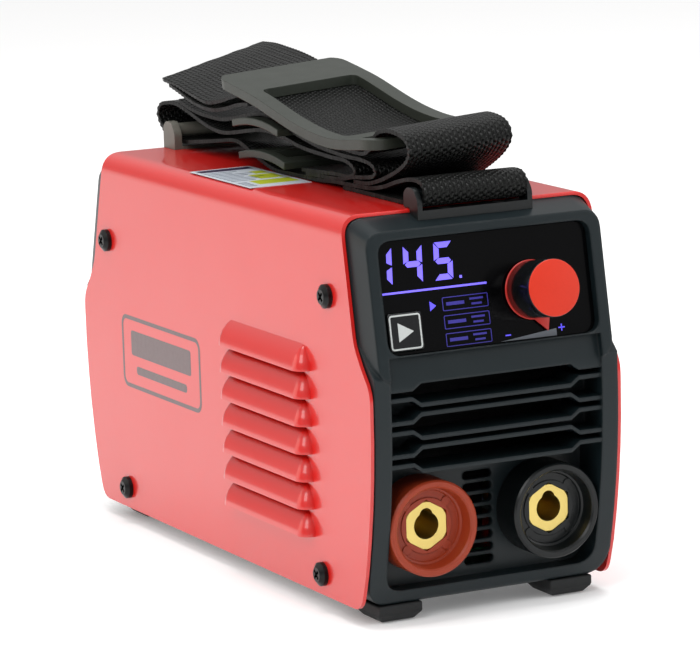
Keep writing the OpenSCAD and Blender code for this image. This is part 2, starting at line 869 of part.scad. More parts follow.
module bulk_capacitors() {
    color("#20242B") from_front() for (y = [121.6, 152]) {
        translate([0, y, pcb_top]) {
            cylinder(r = 14, h = 41);
            translate([0, 0, 40.9]) cylinder(r1 = 14, r2 = 13, h = 1);
        }
    }
}

module bridge_rectifier() {
    color("#242424") from_front() translate([-14, 173, pcb_top]) difference() {
        translate([0, 0, 3]) cube([28, 6, 20]);
        translate([14, -1, 14]) rod_y(1.7, -2, 9);
    }
}

module control_card() {
    color("#1E6A3C") from_front() {
        translate([-22, 105.4, pcb_top]) cube([44, board_t, 62]);
        for (i = [0:2]) {
            translate([-14 + i * 9, 106.9, pcb_top + 46]) cube([7, 1.3, 10]);
        }
    }
}

// Insulating sheet behind the air slots, with a wing along each side wall,
// standing on the board on two legs
module shield_sheet() {
    t = 1.2;
    y = 48;
    foot_z = 30;
    h = 88;
    color("#1D1F20") from_front() {
        translate([-44, y, foot_z]) cube([88, t, h]);
        both_sides() {
            translate([30, y, pcb_top]) cube([8, t, foot_z + 1 - pcb_top]);
            translate([44 - t, panel_depth + 0.6, foot_z])
                cube([t, y + t - panel_depth - 0.6, h]);
        }
    }
}

// ------------------------------------------------------------------------ fan
module at_fan() {
    from_front() translate([0, fan_back, fan_z]) children();
}

module fan_frame() {
    h = fan_w / 2;
    color("#1A1B1C") at_fan() difference() {
        union() {
            difference() {
                along_y(-fan_d, 0) polygon(box_outline(-h, h, -h, h, 3));
                rod_y(fan_r, -fan_d - 1, 1);
            }
            rod_y(16.5, -2.5, 0);
            for (a = [45, 135]) {
                rotate([0, a, 0]) translate([-fan_r - 0.5, -2.5, -2])
                    cube([2 * fan_r + 1, 2.5, 4]);
            }
            rod_y(5, -19, -2);
            rod_y(12.5, -16, -6);
        }
        rod_y(2 + run_fit, -20, -0.8);
        for (x = [-fan_hole, fan_hole], z = [-fan_hole, fan_hole]) {
            translate([x, 0, z]) rod_y(2.15, -fan_d - 1, 1);
        }
    }
}

module fan_rotor() {
    color("#232425") at_fan() {
        difference() {
            rod_y(16, -fan_d + 1, -5);
            rod_y(14.5, -fan_d + 3, -4);
        }
        rod_y(2, -fan_d + 2.9, -1.2);
        intersection() {
            for (i = [0:blade_count - 1]) {
                rotate([0, i * 360 / blade_count, 0]) translate([15.6, -14, 0])
                    rotate([38, 0, 0]) translate([0, -10, -0.8]) cube([22, 20, 1.6]);
            }
            rod_y(fan_r - 1, -fan_d + 1, -4);
        }
    }
}

module fan_screws() {
    color("#A9ADB0") at_fan() for (x = [-fan_hole, fan_hole], z = [-fan_hole, fan_hole]) {
        translate([x, wall + gap, z]) rotate([0, 0, -90])
            pan_screw(3.4, 2.2, 2.05, fan_d - 2);
    }
}

// ------------------------------------------------------ mains switch and inlet
module at_rear(x) {
    from_rear() leaned(rear_lean) translate([x, 0, inlet_z]) children();
}

module switch_body() {
    color("#151617") at_rear(switch_x) difference() {
        union() {
            along_y(9, 11) polygon(box_outline(-7.6, 7.6, -10.6, 10.6, 1));
            translate([-6.5, 10.9, -9.5]) cube([13, 16, 19]);
            for (x = [-3.5, 3.5], z = [-5, 5]) {
                translate([x - 0.4, 26.8, z - 2.4]) cube([0.8, 5.2, 4.8]);
            }
        }
        translate([-5.5, 8, -8.6]) cube([11, 8.4, 17.2]);
        rotate([0, 90, 0]) translate([0, rocker_y, -6]) cylinder(r = 1 + run_fit, h = 12);
    }
}

module power_rocker() {
    color("#B3241C") at_rear(switch_x) translate([0, rocker_y, 0]) rotate([rocker_tilt, 0, 0]) {
        along_x(-5.2, 5.2)
            polygon([[-4.1, -8], [-2.6, -4], [-2.1, 0], [-2.6, 4], [-4.1, 8], [0, 8.1],
                     [2.4, 3], [2.4, -3], [0, -8.1]]);
        rotate([0, 90, 0]) translate([0, 0, -5.9]) cylinder(r = 1, h = 11.8);
    }
}

module gland_body() {
    color("#1B1D1E") at_rear(gland_x) difference() {
        union() {
            hex_y(22, 6.5, 11);
            rod_y(gland_r, 10.9, 22);
            rod_y(gland_r + 0.6, 1, 6.6);
        }
        rod_y(cable_r, -5, 25);
    }
}

module gland_cap() {
    color("#1B1D1E") at_rear(gland_x) difference() {
        union() {
            hex_y(22, -3, 6.2);
            rod_y(gland_cap_r, -gland_l, -2.9);
        }
        rod_y(gland_r + 0.65, 0.6, 7);
        rod_y(cable_r, -8, 8);
    }
}

module gland_nut() {
    color("#1B1D1E") at_rear(gland_x) difference() {
        hex_y(21, 13.7, 18);
        rod_y(gland_r + run_fit, 13, 19);
    }
}

// ------------------------------------------------------------------ fasteners
module cover_screws() {
    color("#141414") from_front() both_sides() for (s = side_screws) {
        translate([-half_w, s[0], s[1]]) pan_screw(4, 2.6, 1.65, s[1] > 50 ? 5.8 : 6.2);
    }
}

// Clip nuts behind the tray's flanges for the lower cover screws
module clip_nuts() {
    color("#8C8F92") from_front() both_sides() for (s = [side_screws[1], side_screws[2]]) {
        translate([-flange_x + sheet_t, s[0], s[1]]) difference() {
            translate([0, -4, -4.4]) cube([2.6, 8, 8.8]);
            rotate([0, 90, 0]) translate([0, 0, -1]) cylinder(r = 1.7, h = 5);
        }
    }
}

module tray_screws() {
    color("#A9ADB0") from_front() for (x = [-15, 15], y = [lug_y0, lug_y1]) {
        translate([x, y, panel_bottom]) rotate([0, -90, 0]) pan_screw(3, 2, 1.65, 4.3);
    }
}

// --------------------------------------------------------------- strap anchors
// Two posts of the given thickness, half of the bracket's width apart from the
// centre line, and a cross bar between them
module anchor(bar, bar_r, base_z, top_z, y0, y1, half, post) {
    both_sides() along_x(half - post, half)
        polygon(outline([[y0, base_z, 0], [y1, base_z, 0], [y1, top_z - 2, 1.2],
                         [y1 - 2.5, top_z, 1.2], [y0 + 3, top_z, 1.5],
                         [y0, top_z - 4, 1.5]]));
    translate([-half + post - 0.1, bar[0], bar[1]]) rotate([0, 90, 0])
        cylinder(r = bar_r, h = 2 * (half - post) + 0.2);
}

module front_strap_bracket() {
    half = web_w / 2 + 2.2;
    color("#181B1D") from_front() difference() {
        union() {
            anchor(front_bar, 2, 127, 141.4, front_base[0], 22, half, 1.8);
            translate([-half, front_base[0], 127])
                cube([2 * half, front_base[1] - front_base[0], front_base_top - 127]);
        }
        end_block(front_lean, 30);
        translate([-half_w, front_base[1], 120]) cube([case_w, 9, case_h + 0.3 - 120]);
        for (x = [-10, 10]) {
            translate([x, front_screw_y, 120]) cylinder(r = 1.6, h = 20);
            translate([x, front_screw_y, front_base_top - 0.9]) cylinder(r = 2.2, h = 2);
        }
    }
}

module rear_strap_bracket() {
    half = web_w / 2 + 3.5;
    y0 = 196.8;
    y1 = 206.4;
    color("#3A3C3A") from_front() difference() {
        union() {
            anchor(rear_bar, 2.5, case_h, 144.4, y0, y1, half, 3);
            translate([-half, y0, case_h]) cube([2 * half, y1 - y0, 1.2]);
        }
        for (x = [-10, 10]) {
            translate([x, rear_bar[0], case_h - 1]) cylinder(r = 1.6, h = 4);
        }
    }
}

// Countersunk screws, flush with the brackets' bases
module bracket_screws() {
    color("#A9ADB0") from_front() for (x = [-10, 10]) {
        translate([x, front_screw_y, 129.2]) {
            cylinder(r = 1.35, h = front_base_top - 130.05);
            translate([0, 0, front_base_top - 130.1]) cylinder(r = 2.1, h = 0.85);
        }
        translate([x, rear_bar[0], case_h + 0.05]) cylinder(r = 1.55, h = 1.1);
    }
}

// ---------------------------------------------------------------------- strap
// Lower run: round the front bar, back over the cover, round behind the rear
// bracket and forward again
lower_run = [[70, 136.4], [50, 136.2], [30, 136], [22, 135.9], [17, 135.6],
             [13.6, 136.5], [12, 139.4], [13.1, 142.3], [16.5, 143.5], [23, 143.6],
             [33, 142.5], [44, 140.2], [56, 138.9], [72, 138.8], [84, 137.8],
             [96, 136.4], [110, 136.2], [140, 136.2], [160, 136.8], [184, 137.1],
             [196, 137.1], [205, 137.2], [211, 138.5], [216, 141.6], [217.4, 145.2],
             [215.5, 148.8], [211, 150.4], [200, 150.6], [185, 149.6], [165, 147.7],
             [148, 147], [110, 147], [92, 146], [76, 144.2], [62, 143.4], [50, 144]];
// Upper run: up round the handle plate's front bar, down through its slot and
// back under its window
upper_run = [[44, 145.4], [36, 147.2], [28, 150.2], [24.4, 154], [27, 157.2],
             [33, 158.7], [39.5, 158.6], [45.2, 156.8], [47.8, 152.6], [53, 149.5],
             [60, 149], [70, 149.1], [84, 150], [96, 151.6], [108, 154],
             [121, 156.9], [134, 159.2], [152, 161.7]];
plate_line = [[30, 153.4], [42, 154.4], [53, 153.4], [65, 152.4], [76, 152.6],
              [88, 153.8], [100, 155.8], [112, 158.4], [124, 161], [138, 163.2],
              [154, 165.4]];

module rolled() {
    from_front() translate([0, 0, roll_z]) rotate([0, -plate_roll, 0])
        translate([0, 0, -roll_z]) children();
}

module strap_webbing_lower() {
    color("#141414") from_front() along_x(-web_w / 2, web_w / 2)
        polygon(strip(spline(lower_run, 3), web_t));
}

module strap_webbing_upper() {
    color("#161616") rolled() along_x(-web_w / 2, web_w / 2)
        polygon(strip(spline(upper_run, 3), web_t));
}

// Free end behind the handle plate, twisting further over to the left
module strap_webbing_tail() {
    color("#181818") from_front() hull() {
        translate([0, 154, 162]) rotate([0, -plate_roll, 0])
            translate([-web_w / 2, 0, -web_t / 2]) cube([web_w, 0.5, web_t]);
        translate([0, 209, 163.6]) rotate([0, -17, 0])
            translate([-web_w / 2, 0, -web_t / 2]) cube([web_w, 0.5, web_t]);
    }
}

// Curved plate that slides on the strap, with a window and a slot
module handle_plate() {
    plate_w = web_w + 10;
    color("#4A4B47") rolled() difference() {
        intersection() {
            along_x(-plate_w / 2, plate_w / 2)
                polygon(strip(spline(plate_line, 3), 3.5));
            translate([0, 0, 140]) linear_extrude(40)
                polygon(box_outline(-plate_w / 2, plate_w / 2, 38.5, 155, 8));
        }
        translate([0, 0, 140]) linear_extrude(40) {
            polygon(box_outline(-18.3, 18.3, 66, 130, 3));
            polygon(box_outline(-web_w / 2 - 0.6, web_w / 2 + 0.6, 43, 53.5, 1.5));
        }
    }
}

// Small two-slot slide, arched along the strap
module slide(y, z) {
    slide_w = web_w + 9;
    arch = [for (i = [-3:3]) [y + i * 6, z + 2 - 2 * i * i / 9]];
    difference() {
        along_x(-slide_w / 2, slide_w / 2) polygon(strip(arch, 2.6));
        for (s = [-1, 1]) {
            translate([-web_w / 2 - 0.5, y + s * 7.5 - 5, z - 5]) cube([web_w + 1, 10, 12]);
        }
    }
}

module slide_upper() {
    color("#5A5B57") from_front() slide(127.5, 149.7);
}

module slide_lower() {
    color("#5A5B57") from_front() slide(123, 138.8);
}

// Printed label on the cover's top
module rating_label() {
    color("#C9D0D6") from_front() translate([-42.5, 92, case_h]) cube([23, 49, 0.15]);
}

cover();
base_tray();
front_bezel();
rear_panel();
feet();
display_window();
led_display();
display_board();
button_switch();
mode_button();
encoder_body();
encoder_shaft();
knob_skirt();
knob_cap();
knob_pointer();
collar_positive();
insert_positive();
collar_negative();
insert_negative();
socket_washers();
socket_nuts();
output_busbars();
main_board();
board_standoffs();
board_screws();
transformer_core();
transformer_windings();
choke_core();
choke_winding();
heat_sink_left();
heat_sink_right();
power_transistors();
bulk_capacitors();
bridge_rectifier();
control_card();
fan_frame();
fan_rotor();
fan_screws();
switch_body();
power_rocker();
gland_body();
gland_cap();
gland_nut();
cover_screws();
clip_nuts();
tray_screws();
front_strap_bracket();
rear_strap_bracket();
bracket_screws();
strap_webbing_lower();
strap_webbing_upper();
strap_webbing_tail();
handle_plate();
slide_upper();
slide_lower();
rating_label();
shield_sheet();
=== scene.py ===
"""Looks of a small stick welding inverter with a shoulder strap.

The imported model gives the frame. Every visible part gets a finish, and the
parts whose shape needs more than the frame's, such as the strap's webbing,
the knob, the lit display and all softened edges, are built here.
"""

from __future__ import annotations

import json
import logging
import math
from collections.abc import Callable, Sequence
from dataclasses import dataclass, field, replace
from enum import Enum

import bmesh
import bpy
from mathutils import Matrix, Vector, noise

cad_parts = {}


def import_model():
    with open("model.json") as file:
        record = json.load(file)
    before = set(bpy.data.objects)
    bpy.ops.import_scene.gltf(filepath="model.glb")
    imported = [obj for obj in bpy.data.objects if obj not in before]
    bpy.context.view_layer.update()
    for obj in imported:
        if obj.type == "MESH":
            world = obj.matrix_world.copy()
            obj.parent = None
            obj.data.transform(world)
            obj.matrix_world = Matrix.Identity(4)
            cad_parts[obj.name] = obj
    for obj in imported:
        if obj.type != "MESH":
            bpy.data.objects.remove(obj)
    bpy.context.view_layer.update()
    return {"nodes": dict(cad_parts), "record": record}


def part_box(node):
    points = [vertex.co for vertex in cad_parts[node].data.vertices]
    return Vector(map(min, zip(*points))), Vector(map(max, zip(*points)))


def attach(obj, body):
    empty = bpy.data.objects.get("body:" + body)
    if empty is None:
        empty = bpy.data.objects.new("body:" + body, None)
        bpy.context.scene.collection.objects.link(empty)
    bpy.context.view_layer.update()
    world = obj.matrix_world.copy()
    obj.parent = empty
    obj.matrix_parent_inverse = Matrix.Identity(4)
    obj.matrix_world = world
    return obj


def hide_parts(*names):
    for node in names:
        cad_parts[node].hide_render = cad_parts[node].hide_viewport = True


LOG = logging.getLogger("welder")
MM = 0.001

Point = tuple[float, float]
Place = tuple[float, float, float]
Box = tuple[float, float, float, float]
Colour = tuple[float, float, float, float]
Tree = bpy.types.NodeTree
Node = bpy.types.Node
Socket = bpy.types.NodeSocket
Shape = bmesh.types.BMesh
Piece = bpy.types.Object

# Steps of noise in a mottled colour, in fine relief and in handling marks
MOTTLE_DETAIL, RELIEF_DETAIL, MARK_DETAIL = 3.0, 2.0, 5.0
# Handling marks: their size against the mottle's, how far they move the
# roughness, and where that starts, the last two as shares of it
MARK_SIZE, MARK_SPAN, MARK_START = 0.6, 0.25, 0.87
# Rays of the shader's own edge rounding
EDGE_SAMPLES = 4
# Spacing of the ring texture's rings at scale 1
RING_UNIT = 0.31
# How thick a printed or lit mark is, and how far in front of its face it starts
FILM_MM, PROUD_MM = 0.04, 0.05
# The welding sockets' axes: off the middle, and above the floor
SOCKET_X, SOCKET_Z = 22.9, 31.4
# Millimetres to one unit of the webbing's own map
MAP_MM = 100
# Start of the random draws that fray the webbing's cut end
FRAY_SEED = 7
# Points this close are one: in a drawing, and in a node, which is in metres
WELD_DRAWN, WELD_NODE = 1e-4, 2e-6
# A node's triangles this near to one plane become one face
FLAT_WITHIN = math.radians(0.6)


# ----------------------------------------------------------------- shader tools
def linear(code: str) -> Colour:
    """Turns an sRGB hex colour into linear light.

    Args:
        code: The colour as "#RRGGBB".

    Returns:
        Linear red, green and blue, and an alpha of 1.
    """
    parts = [int(code[i : i + 2], 16) / 255 for i in (1, 3, 5)]
    curve = [c / 12.92 if c <= 0.04045 else ((c + 0.055) / 1.055) ** 2.4 for c in parts]
    return (curve[0], curve[1], curve[2], 1.0)


def shade(colour: Colour, factor: float) -> Colour:
    """Makes a linear colour darker or lighter.

    Args:
        colour: The linear colour.
        factor: What each channel is multiplied by.

    Returns:
        The changed colour.
    """
    return tuple(min(1.0, c * factor) for c in colour[:3]) + (1.0,)


def add(
    tree: Tree,
    kind: str,
    settings: dict[str, object] | None = None,
    inputs: dict[str | int, object] | None = None,
) -> Node:
    """Adds one shader node with its settings and links.

    Args:
        tree: The node tree that gets the node.
        kind: The node's type name.
        settings: Values of the node's own properties.
        inputs: A value, or a socket to link, for each input.

    Returns:
        The new node.
    """
    node = tree.nodes.new(kind)
    for name, value in (settings or {}).items():
        setattr(node, name, value)
    for key, value in (inputs or {}).items():
        if isinstance(value, Socket):
            tree.links.new(value, node.inputs[key])
        else:
            node.inputs[key].default_value = value
    return node


def maths(tree: Tree, operation: str, *values: object) -> Socket:
    """Adds a Math node.

    Args:
        tree: The node tree that gets the node.
        operation: The name of the operation.
        *values: Numbers or sockets, in the order of the inputs.

    Returns:
        The node's output.
    """
    inputs = dict(enumerate(values))
    return add(tree, "ShaderNodeMath", {"operation": operation}, inputs).outputs[0]


def blend_colours(tree: Tree, factor: object, first: object, second: object) -> Socket:
    """Mixes two colours.

    Args:
        tree: The node tree that gets the node.
        factor: A number or socket, 0 for the first colour and 1 for the second.
        first: A colour or socket.
        second: A colour or socket.

    Returns:
        The mixed colour's socket.
    """
    made = add(
        tree, "ShaderNodeMix", {"data_type": "RGBA"}, {0: factor, 6: first, 7: second}
    )
    return made.outputs[2]


# --------------------------------------------------------------------- finishes
@dataclass(frozen=True)
class Finish:
    """A surface: its colour, gloss, fine grain and how soft its edges look.

    The mottle is how far the colour wanders, over spots of mottle_mm. The grain
    is the relief's height as a share of its own spacing, grain_mm.
    """

    name: str
    colour: str
    roughness: float = 0.45
    metallic: float = 0.0
    specular: float = 0.5
    coat: float = 0.0
    coat_roughness: float = 0.04
    mottle: float = 0.12
    mottle_mm: float = 14.0
    grain_mm: float = 0.5
    grain: float = 0.04
    edge_mm: float = 0.3

    def material(self) -> bpy.types.Material:
        """Builds the material, or gives the one already built.

        Returns:
            The material.
        """
        found = bpy.data.materials.get(self.name)
        if found is not None:
            return found
        made = bpy.data.materials.new(self.name)
        made.use_nodes = True
        tree = made.node_tree
        tree.nodes.clear()
        out = add(tree, "ShaderNodeOutputMaterial")
        shader = add(
            tree,
            "ShaderNodeBsdfPrincipled",
            inputs={
                "Metallic": self.metallic,
                "Specular IOR Level": self.specular,
                "Coat Weight": self.coat,
                "Coat Roughness": self.coat_roughness,
            },
        )
        tree.links.new(shader.outputs[0], out.inputs[0])
        place = self.place(tree)
        tree.links.new(self.tint(tree, place), shader.inputs["Base Color"])
        tree.links.new(self.polish(tree, place), shader.inputs["Roughness"])
        tree.links.new(self.relief(tree, place), shader.inputs["Normal"])
        self.extra(shader)
        made.diffuse_color = linear(self.colour)
        return made

    def extra(self, shader: Node) -> None:
        """Sets what only some finishes have, on the shader's own sockets."""

    def place(self, tree: Tree) -> Socket:
        """Gives the coordinates that the patterns are laid out on."""
        return add(tree, "ShaderNodeTexCoord").outputs["Object"]

    def speckle(
        self, tree: Tree, place: Socket, size_mm: float, detail: float = MOTTLE_DETAIL
    ) -> Socket:
        """Adds noise whose spots are about one size.

        Args:
            tree: The material's node tree.
            place: The coordinates.
            size_mm: Size of a spot.
            detail: How much finer noise is added.

        Returns:
            The noise's value, from 0 to 1.
        """
        made = add(
            tree,
            "ShaderNodeTexNoise",
            inputs={"Vector": place, "Scale": 1 / (size_mm * MM), "Detail": detail},
        )
        return made.outputs[0]

    def tint(self, tree: Tree, place: Socket) -> Socket:
        """Gives the base colour, which wanders a little.

        Args:
            tree: The material's node tree.
            place: The coordinates.

        Returns:
            The colour's socket.
        """
        base = linear(self.colour)
        return blend_colours(
            tree,
            self.speckle(tree, place, self.mottle_mm),
            shade(base, 1 - self.mottle),
            shade(base, 1 + self.mottle),
        )

    def polish(self, tree: Tree, place: Socket) -> Socket:
        """Gives the roughness, with faint handling marks.

        Args:
            tree: The material's node tree.
            place: The coordinates.

        Returns:
            The roughness's socket.
        """
        marks = self.speckle(tree, place, self.mottle_mm * MARK_SIZE, MARK_DETAIL)
        span, start = MARK_SPAN * self.roughness, MARK_START * self.roughness
        return maths(tree, "MULTIPLY_ADD", marks, span, start)

    def height(self, tree: Tree, place: Socket) -> Socket:
        """Gives the height of the fine relief, from 0 to 1."""
        return self.speckle(tree, place, self.grain_mm, RELIEF_DETAIL)

    def relief(self, tree: Tree, place: Socket) -> Socket:
        """Gives the normal, from softened edges and the fine relief.

        Args:
            tree: The material's node tree.
            place: The coordinates.

        Returns:
            The normal's socket.
        """
        inputs: dict[str | int, object] = {
            "Height": self.height(tree, place),
            "Strength": 1.0,
            "Distance": self.grain * self.grain_mm * MM,
        }
        if self.edge_mm > 0:
            radius = {"Radius": self.edge_mm * MM}
            soft = add(tree, "ShaderNodeBevel", {"samples": EDGE_SAMPLES}, radius)
            inputs["Normal"] = soft.outputs[0]
        return add(tree, "ShaderNodeBump", inputs=inputs).outputs[0]


@dataclass(frozen=True)
class Brushed(Finish):
    """Metal with fine lines along one axis, as rolled or brushed."""

    axis: int = 1
    line_mm: float = 0.25
    line_l_mm: float = 12.0

    def place(self, tree: Tree) -> Socket:
        """Squeezes the coordinates along the lines.

        Args:
            tree: The material's node tree.

        Returns:
            The coordinates.
        """
        scale = [1.0, 1.0, 1.0]
        scale[self.axis] = self.line_mm / self.line_l_mm
        inputs = {"Vector": super().place(tree), "Scale": scale}
        return add(tree, "ShaderNodeMapping", inputs=inputs).outputs[0]

    def height(self, tree: Tree, place: Socket) -> Socket:
        """Gives the lines' height."""
        return self.speckle(tree, place, self.line_mm, RELIEF_DETAIL)


@dataclass(frozen=True)
class Turned(Finish):
    """Metal cut on a lathe about an axis along Y, with faint tool rings."""

    centre: Point = (0.0, 0.0)
    ring_mm: float = 0.35

    def height(self, tree: Tree, place: Socket) -> Socket:
        """Gives the height of rings about the part's axis.

        Args:
            tree: The material's node tree.
            place: The coordinates.

        Returns:
            The height, from 0 to 1.
        """
        moved = add(
            tree,
            "ShaderNodeMapping",
            inputs={
                "Vector": place,
                "Location": (-self.centre[0] * MM, 0.0, -self.centre[1] * MM),
            },
        )
        made = add(
            tree,
            "ShaderNodeTexWave",
            {"wave_type": "RINGS", "rings_direction": "Y"},
            {
                "Vector": moved.outputs[0],
                "Scale": RING_UNIT / (self.ring_mm * MM),
                "Distortion": 0.4,
                "Detail": 1.0,
            },
        )
        return made.outputs[1]


@dataclass(frozen=True)
class Layered(Finish):
    """Thin layers or turns stacked along one axis."""

    axis: int = 2
    pitch_mm: float = 0.9
    # the gaps' colour: dark joints between stacked cores, painted shade in the grooves
    # between a coil's turns
    joint_and_shade_colour: str = "#101010"
    gap_curve: float = 0.4

    def lines(self, tree: Tree, place: Socket) -> Socket:
        """Gives 1 on a layer's middle and 0 in the gap beside it.

        Args:
            tree: The material's node tree.
            place: The coordinates.

        Returns:
            The value's socket.
        """
        split = add(tree, "ShaderNodeSeparateXYZ", inputs={0: place})
        turns = math.pi / (self.pitch_mm * MM)
        phase = maths(tree, "MULTIPLY", split.outputs[self.axis], turns)
        return maths(tree, "ABSOLUTE", maths(tree, "SINE", phase))

    def tint(self, tree: Tree, place: Socket) -> Socket:
        """Darkens the gaps between the layers: dark joints between stacked cores, and
        painted shade in the grooves between a coil's turns.

        Args:
            tree: The material's node tree.
            place: The coordinates.

        Returns:
            The colour's socket.
        """
        near = maths(tree, "POWER", self.lines(tree, place), self.gap_curve)
        gap, top = linear(self.joint_and_shade_colour), super().tint(tree, place)
        return blend_colours(tree, near, gap, top)

    def height(self, tree: Tree, place: Socket) -> Socket:
        """Gives the layers' rounded edges."""
        return self.lines(tree, place)


@dataclass(frozen=True)
class CircuitBoard(Finish):
    """Solder mask with lighter copper tracks under it and small pads."""

    track_mm: float = 3.2
    track_share: float = 0.06
    track_lift: float = 1.7
    pad_mm: float = 2.4
    pad_share: float = 0.16
    pad_colour: str = "#B9BDC0"

    def tint(self, tree: Tree, place: Socket) -> Socket:
        """Draws tracks and pads into the mask's colour.

        Args:
            tree: The material's node tree.
            place: The coordinates.

        Returns:
            The colour's socket.
        """
        cells = add(
            tree,
            "ShaderNodeTexBrick",
            {"offset": 0.5},
            {
                "Vector": place,
                "Scale": 1 / (self.track_mm * MM),
                "Mortar Size": self.track_share,
                "Color1": (0, 0, 0, 1),
                "Color2": (0, 0, 0, 1),
                "Mortar": (1, 1, 1, 1),
            },
        )
        pads = add(
            tree,
            "ShaderNodeTexVoronoi",
            inputs={
                "Vector": place, "Scale": 1 / (self.pad_mm * MM), "Randomness": 0.5
            },
        )
        spot = maths(tree, "LESS_THAN", pads.outputs[0], self.pad_share)
        mask = super().tint(tree, place)
        track = shade(linear(self.colour), self.track_lift)
        masked = blend_colours(tree, cells.outputs[0], mask, track)
        return blend_colours(tree, spot, masked, linear(self.pad_colour))


@dataclass(frozen=True)
class Woven(Finish):
    """Webbing: ribs of thick yarn that stand up in rows, each set off by half.

    The patterns lie on a map in decimetres, so the sizes of the speckles and
    the mottle are in tenths of a millimetre, not in millimetres.
    """

    rib_mm: float = 1.55
    pick_mm: float = 2.3
    # painted shade: the colour in the gaps between the beads
    deep: str = "#030303"
    wander: float = 0.35
    wander_size: float = 60.0
    rib_curve: float = 0.7
    bead_curve: float = 0.8
    top_curve: float = 1.6
    fibre: float = 0.25
    fibre_size: float = 18.0
    fibre_detail: float = 4.0
    sheen: float = 0.01

    def place(self, tree: Tree) -> Socket:
        """Uses the strip's own map: across and along, in decimetres."""
        return add(tree, "ShaderNodeUVMap", {"uv_map": "weave"}).outputs[0]

    def yarn(self, tree: Tree, place: Socket) -> Socket:
        """Gives the height of the yarn, 1 on a bead's top and 0 between beads.

        Args:
            tree: The material's node tree.
            place: The coordinates.

        Returns:
            The height's socket.
        """
        split = add(tree, "ShaderNodeSeparateXYZ", inputs={0: place})
        drift = self.speckle(tree, place, self.wander_size, RELIEF_DETAIL)
        wander = maths(tree, "MULTIPLY_ADD", drift, self.wander, -self.wander / 2)
        ribs = maths(tree, "MULTIPLY", split.outputs[0], MAP_MM / self.rib_mm)
        across = maths(tree, "ADD", ribs, wander)
        row = maths(tree, "MULTIPLY", maths(tree, "FLOOR", across), 0.5)
        picks = MAP_MM / self.pick_mm
        along = maths(tree, "MULTIPLY_ADD", split.outputs[1], picks, row)
        round_tops = []
        for way, curve in ((across, self.rib_curve), (along, self.bead_curve)):
            wave = maths(tree, "SINE", maths(tree, "MULTIPLY", way, math.pi))
            arch = maths(tree, "ABSOLUTE", wave)
            round_tops.append(maths(tree, "POWER", arch, curve))
        return maths(tree, "MULTIPLY", *round_tops)

    def tint(self, tree: Tree, place: Socket) -> Socket:
        """Paints shade into the gaps between the beads, so that their tops stand out
        lighter.
        """
        # painted shade in the gaps; the beads' tops keep the yarn's colour
        top = maths(tree, "POWER", self.yarn(tree, place), self.top_curve)
        return blend_colours(tree, top, linear(self.deep), super().tint(tree, place))

    def height(self, tree: Tree, place: Socket) -> Socket:
        """Gives the yarn's height with fine fibres on it.

        Args:
            tree: The material's node tree.
            place: The coordinates.

        Returns:
            The height's socket.
        """
        fuzz = self.speckle(tree, place, self.fibre_size, self.fibre_detail)
        fibres = maths(tree, "MULTIPLY", fuzz, self.fibre)
        return maths(tree, "ADD", self.yarn(tree, place), fibres)

    def extra(self, shader: Node) -> None:
        """Adds the faint sheen of loose fibres."""
        shader.inputs["Sheen Weight"].default_value = self.sheen
        shader.inputs["Sheen Roughness"].default_value = 0.5


@dataclass(frozen=True)
class Lit(Finish):
    """A translucent mark lit from behind by LEDs."""

    glow: float = 1.0

    def extra(self, shader: Node) -> None:
        """Makes the mark give light."""
        shader.inputs["Emission Color"].default_value = linear(self.colour)
        shader.inputs["Emission Strength"].default_value = self.glow


def ink(name: str, colour: str, mottle: float = 0.1) -> Finish:
    """Gives a label's printing ink: even, thin and slightly glossy.

    Args:
        name: The finish's name.
        colour: Its colour as "#RRGGBB".
        mottle: How far the colour wanders.

    Returns:
        The finish.
    """
    return Finish(
        name, colour, 0.4, coat=0.3, mottle=mottle, mottle_mm=2, grain=0.02, edge_mm=0
    )


def led(name: str, colour: str, glow: float) -> Lit:
    """Gives a lit segment: smooth, and evenly bright to its edges."""
    return Lit(name, colour, 0.3, mottle=0.04, grain=0.01, edge_mm=0, glow=glow)


